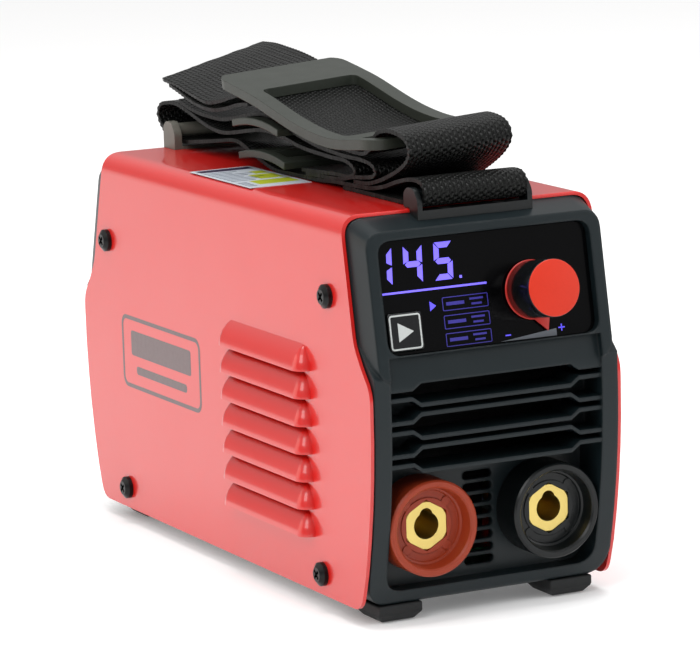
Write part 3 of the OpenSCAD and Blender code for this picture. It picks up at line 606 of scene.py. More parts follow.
class Paint:
    """Every finish of the machine, named for its real material."""

    # Gloss powder coat over sheet steel: deep red under a clear, wet-looking
    # skin with a very faint orange peel
    RED = Finish(
        "powder_coat_gloss_red", "#C2140E", 0.34, coat=0.7, coat_roughness=0.05,
        specular=0.45, mottle=0.03, mottle_mm=60, grain_mm=2.2, grain=0.004, edge_mm=0,
    )
    # Glass-filled nylon, spark-eroded mould: dark slate, fine satin grain, and
    # edges round enough to catch the light
    BEZEL = Finish(
        "nylon_moulded_slate", "#121B1E", 0.34, specular=0.26, mottle=0.08,
        grain_mm=0.35, grain=0.1, edge_mm=1.3,
    )
    # Hard ABS of the strap's front loop and the gland, a little glossy from use
    BRACKET = Finish(
        "abs_moulded_black", "#0D1112", 0.34, specular=0.3, grain_mm=0.4, grain=0.08
    )
    # Acetal of the plate and slides: grey-green, satin, slightly waxy
    ACETAL = Finish(
        "acetal_moulded_grey", "#2C302A", 0.4, specular=0.28, mottle=0.07,
        mottle_mm=9, grain_mm=0.45, grain=0.08,
    )
    # The same acetal in a paler grey, as on the rear loop
    ACETAL_PALE = Finish(
        "acetal_moulded_pale_grey", "#5E5D55", 0.45, mottle=0.1, grain_mm=0.45,
        grain=0.08,
    )
    # Polypropylene webbing, coarse basket rib: near black, with painted shade between
    # the beads so the yarn tops stand out lighter, and glints from its gloss. Its yarn
    # is drawn as thick as it needs to show
    WEBBING = Woven(
        "polypropylene_webbing_black", "#121412", 0.34, mottle=0.25, mottle_mm=300,
        grain_mm=1.0, grain=0.6, edge_mm=0, specular=0.15,
    )
    # Tinted polycarbonate window, hard coated: black until it mirrors something
    WINDOW = Finish(
        "polycarbonate_tinted_black", "#030304", 0.14, specular=0.16, coat=0.05,
        mottle=0.1, grain_mm=3.0, grain=0.001, edge_mm=0.2,
    )
    # Gloss ABS of the knob's skirt and the button: a clean, slightly soft mirror
    GLOSS_BLACK = Finish(
        "abs_gloss_black", "#090B0D", 0.2, coat=0.3, coat_roughness=0.1,
        mottle=0.08, grain_mm=0.6, grain=0.01, edge_mm=0.15,
    )
    # Painted, bead-blasted aluminium cap: even orange red, matt, fine sparkle
    CAP = Finish(
        "aluminium_painted_orange_red", "#C42A10", 0.5, specular=0.3, mottle=0.04,
        mottle_mm=1.2, grain_mm=0.3, grain=0.12, edge_mm=0,
    )
    # Self-coloured ABS of the pointer's ring: plain red, satin
    POINTER = Finish(
        "abs_moulded_red", "#B01A10", 0.4, mottle=0.06, grain_mm=0.4, grain=0.05,
        edge_mm=0.15,
    )
    # Filled nylon of the positive collar: brick red, satin
    COLLAR_RED = Finish(
        "nylon_moulded_brick_red", "#8C3016", 0.4, specular=0.3, mottle=0.07,
        mottle_mm=5, grain_mm=0.4, grain=0.08, edge_mm=0.35,
    )
    # The same nylon filled with carbon black: a smoother, tighter highlight
    COLLAR_BLACK = Finish(
        "nylon_moulded_green_black", "#080C0D", 0.3, specular=0.3, mottle=0.07,
        mottle_mm=5, grain_mm=0.4, grain=0.06, edge_mm=0.35,
    )
    # Free-cutting brass, turned: warm gold with fine tool rings
    BRASS_LEFT = Turned(
        "brass_turned_left", "#D3BC70", 0.34, metallic=1.0, mottle=0.06,
        grain_mm=0.35, grain=0.03, edge_mm=0.15, centre=(-SOCKET_X, SOCKET_Z),
    )
    BRASS_RIGHT = replace(
        BRASS_LEFT, name="brass_turned_right", centre=(SOCKET_X, SOCKET_Z)
    )
    # Milled brass: flatter and browner than turned
    BRASS_NUT = Finish(
        "brass_milled", "#B9974C", 0.35, metallic=1.0, grain_mm=0.4, grain=0.04
    )
    # Black oxide over steel: dark and oily
    OXIDE = Finish(
        "steel_black_oxide", "#101112", 0.3, metallic=0.6, mottle=0.2, mottle_mm=2,
        grain_mm=0.3, grain=0.05, edge_mm=0.2,
    )
    # Rolled steel, zinc plated: pale, with faint cloudy lines
    ZINC = Brushed(
        "steel_zinc_plated", "#A9ACAE", 0.33, metallic=1.0, mottle=0.08, grain=0.03,
        grain_mm=0.4, edge_mm=0.2,
    )
    # Extruded aluminium: drawn lines along the fins
    ALUMINIUM = Brushed(
        "aluminium_extruded", "#A7ABAE", 0.38, metallic=1.0, grain=0.05, grain_mm=0.4
    )
    # Ground steel of the shaft: bright, with fine lines
    STEEL = Brushed(
        "steel_ground", "#B4B7B9", 0.25, metallic=1.0, grain=0.03, grain_mm=0.3
    )
    # Rolled copper strip: warm, tarnished in soft patches
    COPPER = Brushed(
        "copper_strip", "#B9683A", 0.3, metallic=1.0, mottle=0.15, grain=0.04,
        grain_mm=0.4, axis=2,
    )
    # Enamelled copper: the lacquer turns it amber and glossy; the grooves between
    # the turns carry painted shade
    WIRE = Layered(
        "copper_wire_enamelled", "#A4562A", 0.28, metallic=0.7, coat=0.6,
        mottle=0.15, grain=0.5, pitch_mm=1.6, joint_and_shade_colour="#3A1A0A",
    )
    # Ferrite cores side by side: dead matt grey with dark joints
    LAMINATE = Layered(
        "ferrite_cores_stacked", "#303236", 0.6, mottle=0.15, grain=0.08,
        grain_mm=1.0, axis=1, pitch_mm=10.0,
    )
    # Pressed iron powder, epoxy coated: sea green, slightly rough
    POWDER_CORE = Finish(
        "iron_powder_core_green", "#2E5E4E", 0.5, mottle=0.2, mottle_mm=3,
        grain_mm=0.4, grain=0.15,
    )
    # Glass epoxy under solder mask: glossy green over lighter tracks
    BOARD = CircuitBoard(
        "glass_epoxy_green", "#155132", 0.35, coat=0.4, mottle=0.08, grain_mm=0.8,
        grain=0.02, edge_mm=0,
    )
    # Transfer-moulded epoxy: charcoal, dry and slightly sandy
    EPOXY = Finish(
        "epoxy_moulded_black", "#18181A", 0.55, mottle=0.1, grain_mm=0.3, grain=0.15
    )
    # Pressed fibre sheet, black and quite dull, set behind the air slots so that
    # they look dark: it stands in for the shade inside them
    SLOT_SHADE_SHEET = Finish(
        "black_sheet_for_slot_shade", "#141415", 0.7, specular=0.2, mottle=0.15,
        mottle_mm=4, grain_mm=0.6, grain=0.2,
    )
    # Shrunk vinyl sleeve: smooth and glossy, with slow waves
    SLEEVE = Finish(
        "vinyl_sleeve_dark_blue", "#161C2A", 0.25, coat=0.3, mottle=0.08,
        grain_mm=2.0, grain=0.01,
    )
    # Moulded rubber: soft black, matt, rounded edges
    RUBBER = Finish(
        "rubber_moulded_black", "#141617", 0.62, specular=0.35, mottle=0.15,
        mottle_mm=6, grain=0.15, edge_mm=0.5,
    )
    # Glass-filled polyester of the fan: even black satin
    FAN = Finish(
        "polyester_moulded_black", "#151617", 0.48, mottle=0.1, grain_mm=0.4, grain=0.08
    )
    # Gloss ABS of the rocker: clear bright red
    ROCKER = Finish(
        "abs_gloss_red", "#A81C14", 0.2, coat=0.4, mottle=0.05, grain_mm=0.8, grain=0.01
    )
    # Potted display block: bluish black resin
    DISPLAY = Finish(
        "epoxy_display_block", "#202028", 0.3, coat=0.3, mottle=0.1, grain_mm=0.6,
        grain=0.03,
    )
    # Dark grey ABS of switch bodies: plain satin
    GREY_PLASTIC = Finish(
        "abs_moulded_dark_grey", "#333436", 0.45, grain_mm=0.4, grain=0.06
    )
    # Screen prints: thin ink that takes on the gloss of what is under it
    PRINT_DARK = Finish(
        "screen_print_dark_grey", "#4C2F31", 0.42, coat=0.5, mottle=0.1, mottle_mm=3,
        grain_mm=0.4, grain=0.03, edge_mm=0,
    )
    PRINT_WHITE = Finish(
        "screen_print_white", "#B4B8B6", 0.4, mottle=0.05, mottle_mm=2, grain_mm=0.3,
        edge_mm=0,
    )
    PRINT_GREY = Finish(
        "screen_print_grey", "#5E646C", 0.35, coat=0.5, mottle=0.1, mottle_mm=4,
        grain_mm=0.4, grain=0.03, edge_mm=0,
    )
    # Label stock, pale and satin, and the inks on it
    LABEL = Finish(
        "polyester_label_silver", "#C3CAD2", 0.35, coat=0.3, mottle=0.05,
        mottle_mm=3, grain=0.02, edge_mm=0,
    )
    LABEL_GREEN = ink("label_ink_yellow_green", "#A9B420", mottle=0.06)
    LABEL_PURPLE = ink("label_ink_dark_purple", "#2A1A3C")
    LABEL_BLUE = ink("label_ink_slate", "#566070")
    # Lit marks behind the window: violet blue, brighter digits, dimmer frames
    DIGIT = led("led_segment_violet", "#6E60F2", 0.72)
    MARK = led("led_mark_violet", "#5348D8", 0.7)
    DIM = led("led_mark_dim_violet", "#2A2478", 0.45)


NODE_FINISH: dict[str, Finish] = {
    "cover": Paint.RED,
    "base_tray": Paint.ZINC,
    "front_bezel": Paint.BEZEL,
    "rear_panel": Paint.BEZEL,
    "feet": Paint.RUBBER,
    "display_window": Paint.WINDOW,
    "led_display": Paint.DISPLAY,
    "display_board": Paint.BOARD,
    "button_switch": Paint.GREY_PLASTIC,
    "mode_button": Paint.GLOSS_BLACK,
    "encoder_body": Paint.ZINC,
    "encoder_shaft": Paint.STEEL,
    "knob_skirt": Paint.GLOSS_BLACK,
    "knob_cap": Paint.CAP,
    "knob_pointer": Paint.POINTER,
    "collar_positive": Paint.COLLAR_RED,
    "insert_positive": Paint.BRASS_LEFT,
    "collar_negative": Paint.COLLAR_BLACK,
    "insert_negative": Paint.BRASS_RIGHT,
    "socket_washers": Paint.ZINC,
    "socket_nuts": Paint.BRASS_NUT,
    "output_busbars": Paint.COPPER,
    "main_board": Paint.BOARD,
    "board_standoffs": Paint.BRASS_NUT,
    "board_screws": Paint.ZINC,
    "transformer_core": Paint.LAMINATE,
    "transformer_windings": Paint.WIRE,
    "choke_core": Paint.POWDER_CORE,
    "choke_winding": Paint.WIRE,
    "heat_sink_left": Paint.ALUMINIUM,
    "heat_sink_right": Paint.ALUMINIUM,
    "power_transistors": Paint.EPOXY,
    "bulk_capacitors": Paint.SLEEVE,
    "bridge_rectifier": Paint.EPOXY,
    "control_card": Paint.BOARD,
    "fan_frame": Paint.FAN,
    "fan_rotor": Paint.FAN,
    "fan_screws": Paint.ZINC,
    "switch_body": Paint.GREY_PLASTIC,
    "power_rocker": Paint.ROCKER,
    "gland_body": Paint.BRACKET,
    "gland_cap": Paint.BRACKET,
    "gland_nut": Paint.BRACKET,
    "cover_screws": Paint.OXIDE,
    "clip_nuts": Paint.ZINC,
    "tray_screws": Paint.ZINC,
    "front_strap_bracket": Paint.BRACKET,
    "rear_strap_bracket": Paint.ACETAL_PALE,
    "bracket_screws": Paint.ZINC,
    "strap_webbing_lower": Paint.WEBBING,
    "strap_webbing_upper": Paint.WEBBING,
    "strap_webbing_tail": Paint.WEBBING,
    "handle_plate": Paint.ACETAL,
    "slide_upper": Paint.ACETAL,
    "slide_lower": Paint.ACETAL,
    "rating_label": Paint.LABEL,
    # a dark sheet behind the air slots, standing in for the shade inside them
    "shield_sheet": Paint.SLOT_SHADE_SHEET,
}


# ------------------------------------------------------------------- mesh tools
class Space(Enum):
    """The frames that pieces are drawn in, all in millimetres."""

    FRONT = "front"  # y = 0 on the front rim's foremost line
    WINDOW = "window"  # y along the leaned window's normal, z up its face
    KNOB = "knob"  # z along the knob's axis, out of the machine


@dataclass
class Places:
    """Turns a point of a drawing frame into the machine's own frame."""

    lean: float = math.radians(10)  # of the window, backwards
    kink_z: float = 87.0  # where the front starts to lean
    foot_y: float = 11.0  # from the front rim back to the feet
    knob_x: float = 16.0
    knob_z: float = 19.5  # up the window's face
    matrix: dict[Space, Matrix] = field(init=False)

    def __post_init__(self) -> None:
        """Finds the front rim's line from the front feet."""
        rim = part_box("feet")[0].y / MM - self.foot_y
        front = Matrix.Translation((0, rim, 0))
        window = (
            front
            @ Matrix.Translation((0, 0, self.kink_z))
            @ Matrix.Rotation(-self.lean, 4, "X")
        )
        knob = (
            window
            @ Matrix.Translation((self.knob_x, 0, self.knob_z))
            @ Matrix.Rotation(math.pi / 2, 4, "X")
        )
        to_metres = Matrix.Scale(MM, 4)
        self.matrix = {
            Space.FRONT: to_metres @ front,
            Space.WINDOW: to_metres @ window,
            Space.KNOB: to_metres @ knob,
        }


def finished(
    shape: Shape,
    name: str,
    finish: Finish,
    matrix: Matrix | None = None,
    smooth_below: float = 35.0,
) -> Piece:
    """Turns a bmesh into an object that is dressed and placed in its mesh.

    Args:
        shape: The shape, which is freed.
        name: The piece's name.
        finish: What the piece is made of.
        matrix: From the shape's frame to the machine's, or None if it is there.
        smooth_below: Edges that bend less than this, in degrees, are shaded smooth.

    Returns:
        The new object.
    """
    if matrix is not None:
        bmesh.ops.transform(shape, matrix=matrix, verts=shape.verts)
    shape.normal_update()
    limit = math.radians(smooth_below)
    for edge in shape.edges:
        edge.smooth = len(edge.link_faces) == 2 and edge.calc_face_angle(0) < limit
    for face in shape.faces:
        face.smooth = True
    mesh = bpy.data.meshes.new(name)
    shape.to_mesh(mesh)
    shape.free()
    mesh.materials.append(finish.material())
    piece = bpy.data.objects.new(name, mesh)
    bpy.context.scene.collection.objects.link(piece)
    return piece


def soften(
    piece: Piece, width_mm: float, segments: int, angle: float = 38.0
) -> None:
    """Rounds a piece's sharp edges with a bevel and keeps its flat faces flat.

    Args:
        piece: The piece.
        width_mm: How far the bevel reaches from an edge.
        segments: The bevel's steps.
        angle: Edges that bend more than this, in degrees, are rounded.
    """
    made = piece.modifiers.new("rounded_edges", "BEVEL")
    made.width = width_mm * MM
    made.segments = segments
    made.limit_method = "ANGLE"
    made.angle_limit = math.radians(angle)
    made.profile = 0.5
    made.material = -1
    made.miter_outer = "MITER_ARC"
    made.use_clamp_overlap = True
    level = piece.modifiers.new("flat_faces_stay_flat", "WEIGHTED_NORMAL")
    level.keep_sharp = True
    level.weight = 90  # a large face outweighs the bevel beside it


def plate(
    outline: Sequence[Point],
    front: float,
    thick: float,
    holes: Sequence[Sequence[Point]] = (),
) -> Shape:
    """Makes a flat plate with straight sides from its outline.

    Args:
        outline: Corners (x, z), in order.
        front: Depth y of its front face.
        thick: How thick it is.
        holes: Outlines cut out of it, with as many corners as the outline has.

    Returns:
        The plate.
    """
    shape = bmesh.new()
    rings = []
    for points in (outline, *holes):
        corners = [shape.verts.new((x, front, z)) for x, z in points]
        rings.append(
            [shape.edges.new((corners[i - 1], corners[i])) for i in range(len(corners))]
        )
    if holes:
        bmesh.ops.bridge_loops(shape, edges=[e for ring in rings for e in ring])
    else:
        bmesh.ops.contextual_create(shape, geom=rings[0])
    made = bmesh.ops.extrude_face_region(shape, geom=list(shape.faces))
    moved = [v for v in made["geom"] if isinstance(v, bmesh.types.BMVert)]
    bmesh.ops.translate(shape, vec=(0, thick, 0), verts=moved)
    bmesh.ops.recalc_face_normals(shape, faces=shape.faces)
    return shape


def rounded_box(
    x0: float, x1: float, z0: float, z1: float, r: float, steps: int = 5
) -> list[Point]:
    """Gives the corners of a box with rounded corners.

    Args:
        x0: Left side.
        x1: Right side.
        z0: Lower side.
        z1: Upper side.
        r: Radius of the corners.
        steps: Steps of each corner.

    Returns:
        The corners, counter-clockwise.
    """
    points = []
    for turn, (cx, cz) in enumerate(
        ((x1 - r, z1 - r), (x0 + r, z1 - r), (x0 + r, z0 + r), (x1 - r, z0 + r))
    ):
        for i in range(steps + 1):
            angle = math.radians(90 * turn + 90 * i / steps)
            points.append((cx + r * math.cos(angle), cz + r * math.sin(angle)))
    return points


def lathe(profile: Sequence[Point], steps: int = 96) -> Shape:
    """Spins a profile about Z.

    Args:
        profile: Points (radius, z).
        steps: Steps of the whole turn.

    Returns:
        The turned shape.
    """
    shape = bmesh.new()
    line = [shape.verts.new((r, 0, z)) for r, z in profile]
    edges = [shape.edges.new(pair) for pair in zip(line, line[1:])]
    bmesh.ops.spin(
        shape, geom=[*line, *edges], cent=(0, 0, 0), axis=(0, 0, 1),
        angle=2 * math.pi, steps=steps, use_merge=True,
    )
    bmesh.ops.remove_doubles(shape, verts=shape.verts, dist=WELD_DRAWN)
    bmesh.ops.recalc_face_normals(shape, faces=shape.faces)
    return shape


def joined(*shapes: Shape) -> Shape:
    """Puts several shapes into one.

    Args:
        *shapes: The shapes, which are freed.

    Returns:
        The whole.
    """
    whole = bmesh.new()
    for shape in shapes:
        mesh = bpy.data.meshes.new("part_of_a_piece")
        shape.to_mesh(mesh)
        shape.free()
        whole.from_mesh(mesh)
        bpy.data.meshes.remove(mesh)
    return whole


def merged_copy(node: Piece) -> Shape:
    """Copies a frame node's loose triangles as one closed surface.

    Args:
        node: The frame's node.

    Returns:
        The surface, without the normals that came with the triangles.
    """
    shape = bmesh.new()
    shape.from_mesh(node.data)
    bmesh.ops.remove_doubles(shape, verts=shape.verts, dist=WELD_NODE)
    bmesh.ops.dissolve_limit(
        shape, angle_limit=FLAT_WITHIN, verts=shape.verts, edges=shape.edges,
        use_dissolve_boundaries=False, delimit={"NORMAL"},
    )
    for name in [a.name for a in node.data.attributes]:
        layer = shape.loops.layers.float_vector.get(name)
        if layer is not None:
            shape.loops.layers.float_vector.remove(layer)
    return shape


# ------------------------------------------------------------------ sub-assemblies
@dataclass
class SoftEdged:
    """Frame nodes that are shown again with rounded, smoothly shaded edges."""

    nodes: dict[str, Piece]
    bodies: dict[str, str]
    # node: (bevel in mm, its steps)
    edges: dict[str, tuple[float, int]] = field(
        default_factory=lambda: {
            "cover": (0.25, 2),
            "front_bezel": (0.45, 2),
            "rear_panel": (0.45, 2),
            "feet": (0.8, 3),
            "mode_button": (0.35, 2),
            "front_strap_bracket": (0.8, 3),
            "rear_strap_bracket": (0.7, 3),
            "handle_plate": (1.25, 3),
            "slide_upper": (0.8, 3),
            "slide_lower": (0.8, 3),
        }
    )

    def build(self) -> list[Piece]:
        """Builds every piece.

        Returns:
            The pieces.
        """
        pieces = []
        for node, (width, steps) in self.edges.items():
            piece = finished(
                merged_copy(self.nodes[node]), f"{node}_finished", NODE_FINISH[node]
            )
            soften(piece, width, steps)
            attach(piece, self.bodies[node])
            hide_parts(node)
            pieces.append(piece)
        return pieces


@dataclass
class Knob:
    """The current knob: gloss skirt, matt cap, and a ring with its pointer.

    Heights are from the window's face. The pointer is drawn straight down.
    """

    places: Places
    radius: float = 9.5
    face: float = 13.9
    cap: float = 0.5
    bore: float = 3.05
    bore_depth: float = 2.0
    wall: float = 2.5
    back: float = -1.2
    ring: float = 9.8
    ring_thick: float = 0.7
    arrow: tuple[Point, ...] = ((-3.1, -9.3), (0, -14.7), (3.1, -9.3))
    arrow_thick: float = 0.65
    arrow_edge: float = 0.15
    arrow_sunk: float = 0.02
    pointer_turn: float = 18.0

    def skirt(self) -> Shape:
        """Turns the skirt, a tube with a closed, rounded front rim.

        Returns:
            The shape.
        """
        r, seam = self.radius, self.face - self.cap
        inside, floor, foot = r - self.wall, seam - self.bore_depth, self.back + 0.05
        # the small steps in from the radius and the seam round the edges
        return lathe(
            [(self.bore, floor), (self.bore, seam), (r - 0.3, seam),
             (r - 0.1, seam - 0.08), (r, seam - 0.35), (r, self.back + 0.5),
             (r - 0.3, foot), (inside, foot), (inside, floor), (self.bore, floor)]
        )

    def disc(self) -> Shape:
        """Turns the cap, a thin disc with a rounded edge.

        Returns:
            The shape.
        """
        r, top = self.radius, self.face
        seam = top - self.cap
        return lathe(
            [(0, seam), (r - 0.25, seam), (r - 0.2, seam + 0.08), (r - 0.24, top - 0.2),
             (r - 0.38, top - 0.06), (r - 0.6, top), (0, top)]
        )

    def pointer(self) -> Shape:
        """Turns the ring and lays the arrow on its front.

        Returns:
            The shape.
        """
        inside, out = self.radius - self.wall, self.ring
        low, high = self.back - self.ring_thick, self.back
        foot = low + 0.05
        ring = lathe(
            [(inside, foot), (out - 0.15, foot), (out, low + 0.2), (out, high - 0.2),
             (out - 0.2, high), (inside, high), (inside, foot)]
        )
        arrow = plate(self.arrow, 0, self.arrow_thick)
        bmesh.ops.bevel(
            arrow, geom=arrow.edges[:], offset=self.arrow_edge, affect="EDGES",
            segments=2, profile=0.5, material=-1,
        )
        turn = Matrix.Rotation(math.radians(self.pointer_turn), 4, "Z")
        upright = Matrix.Translation((0, 0, high - self.arrow_sunk)) @ turn
        bmesh.ops.transform(
            arrow, matrix=upright @ Matrix.Rotation(-math.pi / 2, 4, "X"),
            verts=arrow.verts,
        )
        return joined(ring, arrow)

    def build(self) -> list[Piece]:
        """Builds the three pieces.

        Returns:
            The pieces.
        """
        made = []
        for name, shape, node in (
            ("knob_skirt_moulded", self.skirt(), "knob_skirt"),
            ("knob_cap_blasted", self.disc(), "knob_cap"),
            ("knob_pointer_ring", self.pointer(), "knob_pointer"),
        ):
            matrix = self.places.matrix[Space.KNOB]
            piece = finished(shape, name, NODE_FINISH[node], matrix)
            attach(piece, "knob")
            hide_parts(node)
            made.append(piece)
        return made


@dataclass
class Display:
    """Lit and printed marks on the control window, and the button's print.

    Places are across and up the window's face. A box is its left, right, lower
    and upper side.
    """

    places: Places
    surface: float = 2.7
    digit_h: float = 12.3
    digit_w: float = 6.8
    bar: float = 1.9
    gap: float = 0.28
    slant: float = 0.07
    digit_foot: float = 25.9
    # each character and the x of its lower left corner
    digits: tuple[tuple[str, float], ...] = (("1", -40.5), ("4", -29.5), ("5", -18.4))
    # the underline and the decimal point
    lines: tuple[Box, ...] = ((-38.3, 0.3, 23.1, 23.75), (-9.3, -8.4, 25.9, 26.8))
    # the mode frames: each one's lower and upper side, then what they share
    mode_rows: tuple[Point, ...] = ((15.8, 20.3), (9.9, 14.4), (4.2, 8.6))
    mode_sides: Point = (-16.6, 0.2)
    mode_line: float = 0.28
    mode_corner: float = 0.5
    # the bars in a mode frame, their heights from its middle
    mode_bars: tuple[Box, ...] = (
        (-15.2, -8.6, -0.55, 0.55),
        (-6.6, -1.6, 0.5, 1.15),
        (-6.0, -2.2, -1.15, -0.5),
    )
    mode_arrow: tuple[Point, ...] = ((-21.2, 16.3), (-18.9, 17.9), (-21.2, 19.5))
    # the minus sign, then the plus sign's two bars
    signs: tuple[Box, ...] = (
        (5.2, 7.2, 5.35, 5.8),
        (25.0, 27.4, 5.85, 6.3),
        (25.98, 26.42, 4.9, 7.25),
    )
    wedge: tuple[Point, ...] = ((3.2, 3.75), (24.2, 3.6), (24.2, 6.0))
    # the button: its middle, how far it stands out, and its printed frame
    button: Point = (-31.2, 10.7)
    button_rise: float = 0.8
    button_half: float = 5.7
    button_line: float = 0.55
    button_corner: float = 1.1
    # the button's triangle, from its middle
    triangle: tuple[Point, ...] = ((-2.7, -3.1), (2.9, 0), (-2.7, 3.1))

    def segments(self, character: str) -> list[list[Point]]:
        """Gives the outlines of a digit's lit bars in its own cell.

        Args:
            character: The digit.

        Returns:
            One outline for each bar.
        """
        w, h, t, g = self.digit_w, self.digit_h, self.bar, self.gap
        half, tip = h / 2, t * 0.75
        bars = {
            "top": [(g, h), (w - g, h), (w - t, h - t), (t, h - t)],
            "middle": [(tip, half + t / 2), (w - tip, half + t / 2), (w - g * 2, half),
                       (w - tip, half - t / 2), (tip, half - t / 2), (g * 2, half)],
            "bottom": [(t, t), (w - t, t), (w - g, 0), (g, 0)],
        }
        for side, out, inner in (("left", 0, t), ("right", w, w - t)):
            bars[f"upper_{side}"] = [
                (out, h - g), (inner, h - t - g), (inner, half + t / 2 + g),
                (out, half + g),
            ]
            bars[f"lower_{side}"] = [
                (out, half - g), (inner, half - t / 2 - g), (inner, t + g), (out, g)
            ]
        lit = {
            "1": ["upper_right", "lower_right"],
            "4": ["upper_left", "upper_right", "middle", "lower_right"],
            "5": ["top", "upper_left", "middle", "lower_right", "bottom"],
        }
        return [bars[part] for part in lit[character]]

    def mark(
        self,
        name: str,
        shapes: list[Shape],
        finish: Finish,
        body: str = "machine",
    ) -> Piece:
        """Places one set of marks on the window.

        Args:
            name: The piece's name.
            shapes: The marks, which are freed.
            finish: What they are made of.
            body: What they move with.

        Returns:
            The piece.
        """
        matrix = self.places.matrix[Space.WINDOW]
        piece = finished(joined(*shapes), name, finish, matrix)
        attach(piece, body)
        return piece

    def film(self, outline: Sequence[Point]) -> Shape:
        """Makes a thin mark on the window's face."""
        return plate(outline, self.surface - PROUD_MM, FILM_MM)

    def box(self, sides: Box, rise: float = 0.0) -> Shape:
        """Makes a thin bar on the window's face.

        Args:
            sides: Its left, right, lower and upper side.
            rise: How far it is moved up.

        Returns:
            The bar.
        """
        x0, x1, z0, z1 = sides
        z0, z1 = rise + z0, rise + z1
        return self.film([(x0, z0), (x1, z0), (x1, z1), (x0, z1)])

    def frame(self, sides: Box, line: float, r: float, front: float) -> Shape:
        """Makes a thin rounded frame.

        Args:
            sides: Its left, right, lower and upper side.
            line: How wide its line is.
            r: Radius of its corners.
            front: Depth y of its front.

        Returns:
            The frame.
        """
        x0, x1, z0, z1 = sides
        inner = (x0 + line, x1 - line, z0 + line, z1 - line)
        hole = rounded_box(*inner, max(r - line, 0.1))
        return plate(rounded_box(*sides, r), front, FILM_MM, [hole])

    def build(self) -> list[Piece]:
        """Builds the digits, mode rows, knob marks and the button's print.

        Returns:
            The pieces.
        """
        face = self.surface - PROUD_MM
        bars = [
            self.film(
                [(x0 + x + z * self.slant, self.digit_foot + z) for x, z in outline]
            )
            for character, x0 in self.digits
            for outline in self.segments(character)
        ]
        modes = []
        for low, high in self.mode_rows:
            sides = (*self.mode_sides, low, high)
            modes.append(self.frame(sides, self.mode_line, self.mode_corner, face))
            modes += [self.box(bar, (low + high) / 2) for bar in self.mode_bars]
        signs = [self.film(self.mode_arrow), *(self.box(bar) for bar in self.signs)]
        x, z = self.button
        half, key = self.button_half, self.surface - self.button_rise - PROUD_MM
        edge = (x - half, x + half, z - half, z + half)
        button = [
            self.frame(edge, self.button_line, self.button_corner, key),
            plate([(x + dx, z + dz) for dx, dz in self.triangle], key, FILM_MM),
        ]
        return [
            self.mark("display_digits", bars, Paint.DIGIT),
            self.mark(
                "display_underline", [self.box(bar) for bar in self.lines],
                Paint.DIGIT,
            ),
            self.mark("display_mode_rows", modes, Paint.DIM),
            self.mark("display_signs", signs, Paint.MARK),
            self.mark(
                "window_print_wedge", [self.film(self.wedge)], Paint.PRINT_GREY,
            ),
            self.mark(
                "mode_button_print", button, Paint.PRINT_WHITE,
                body="mode_button",
            ),
        ]


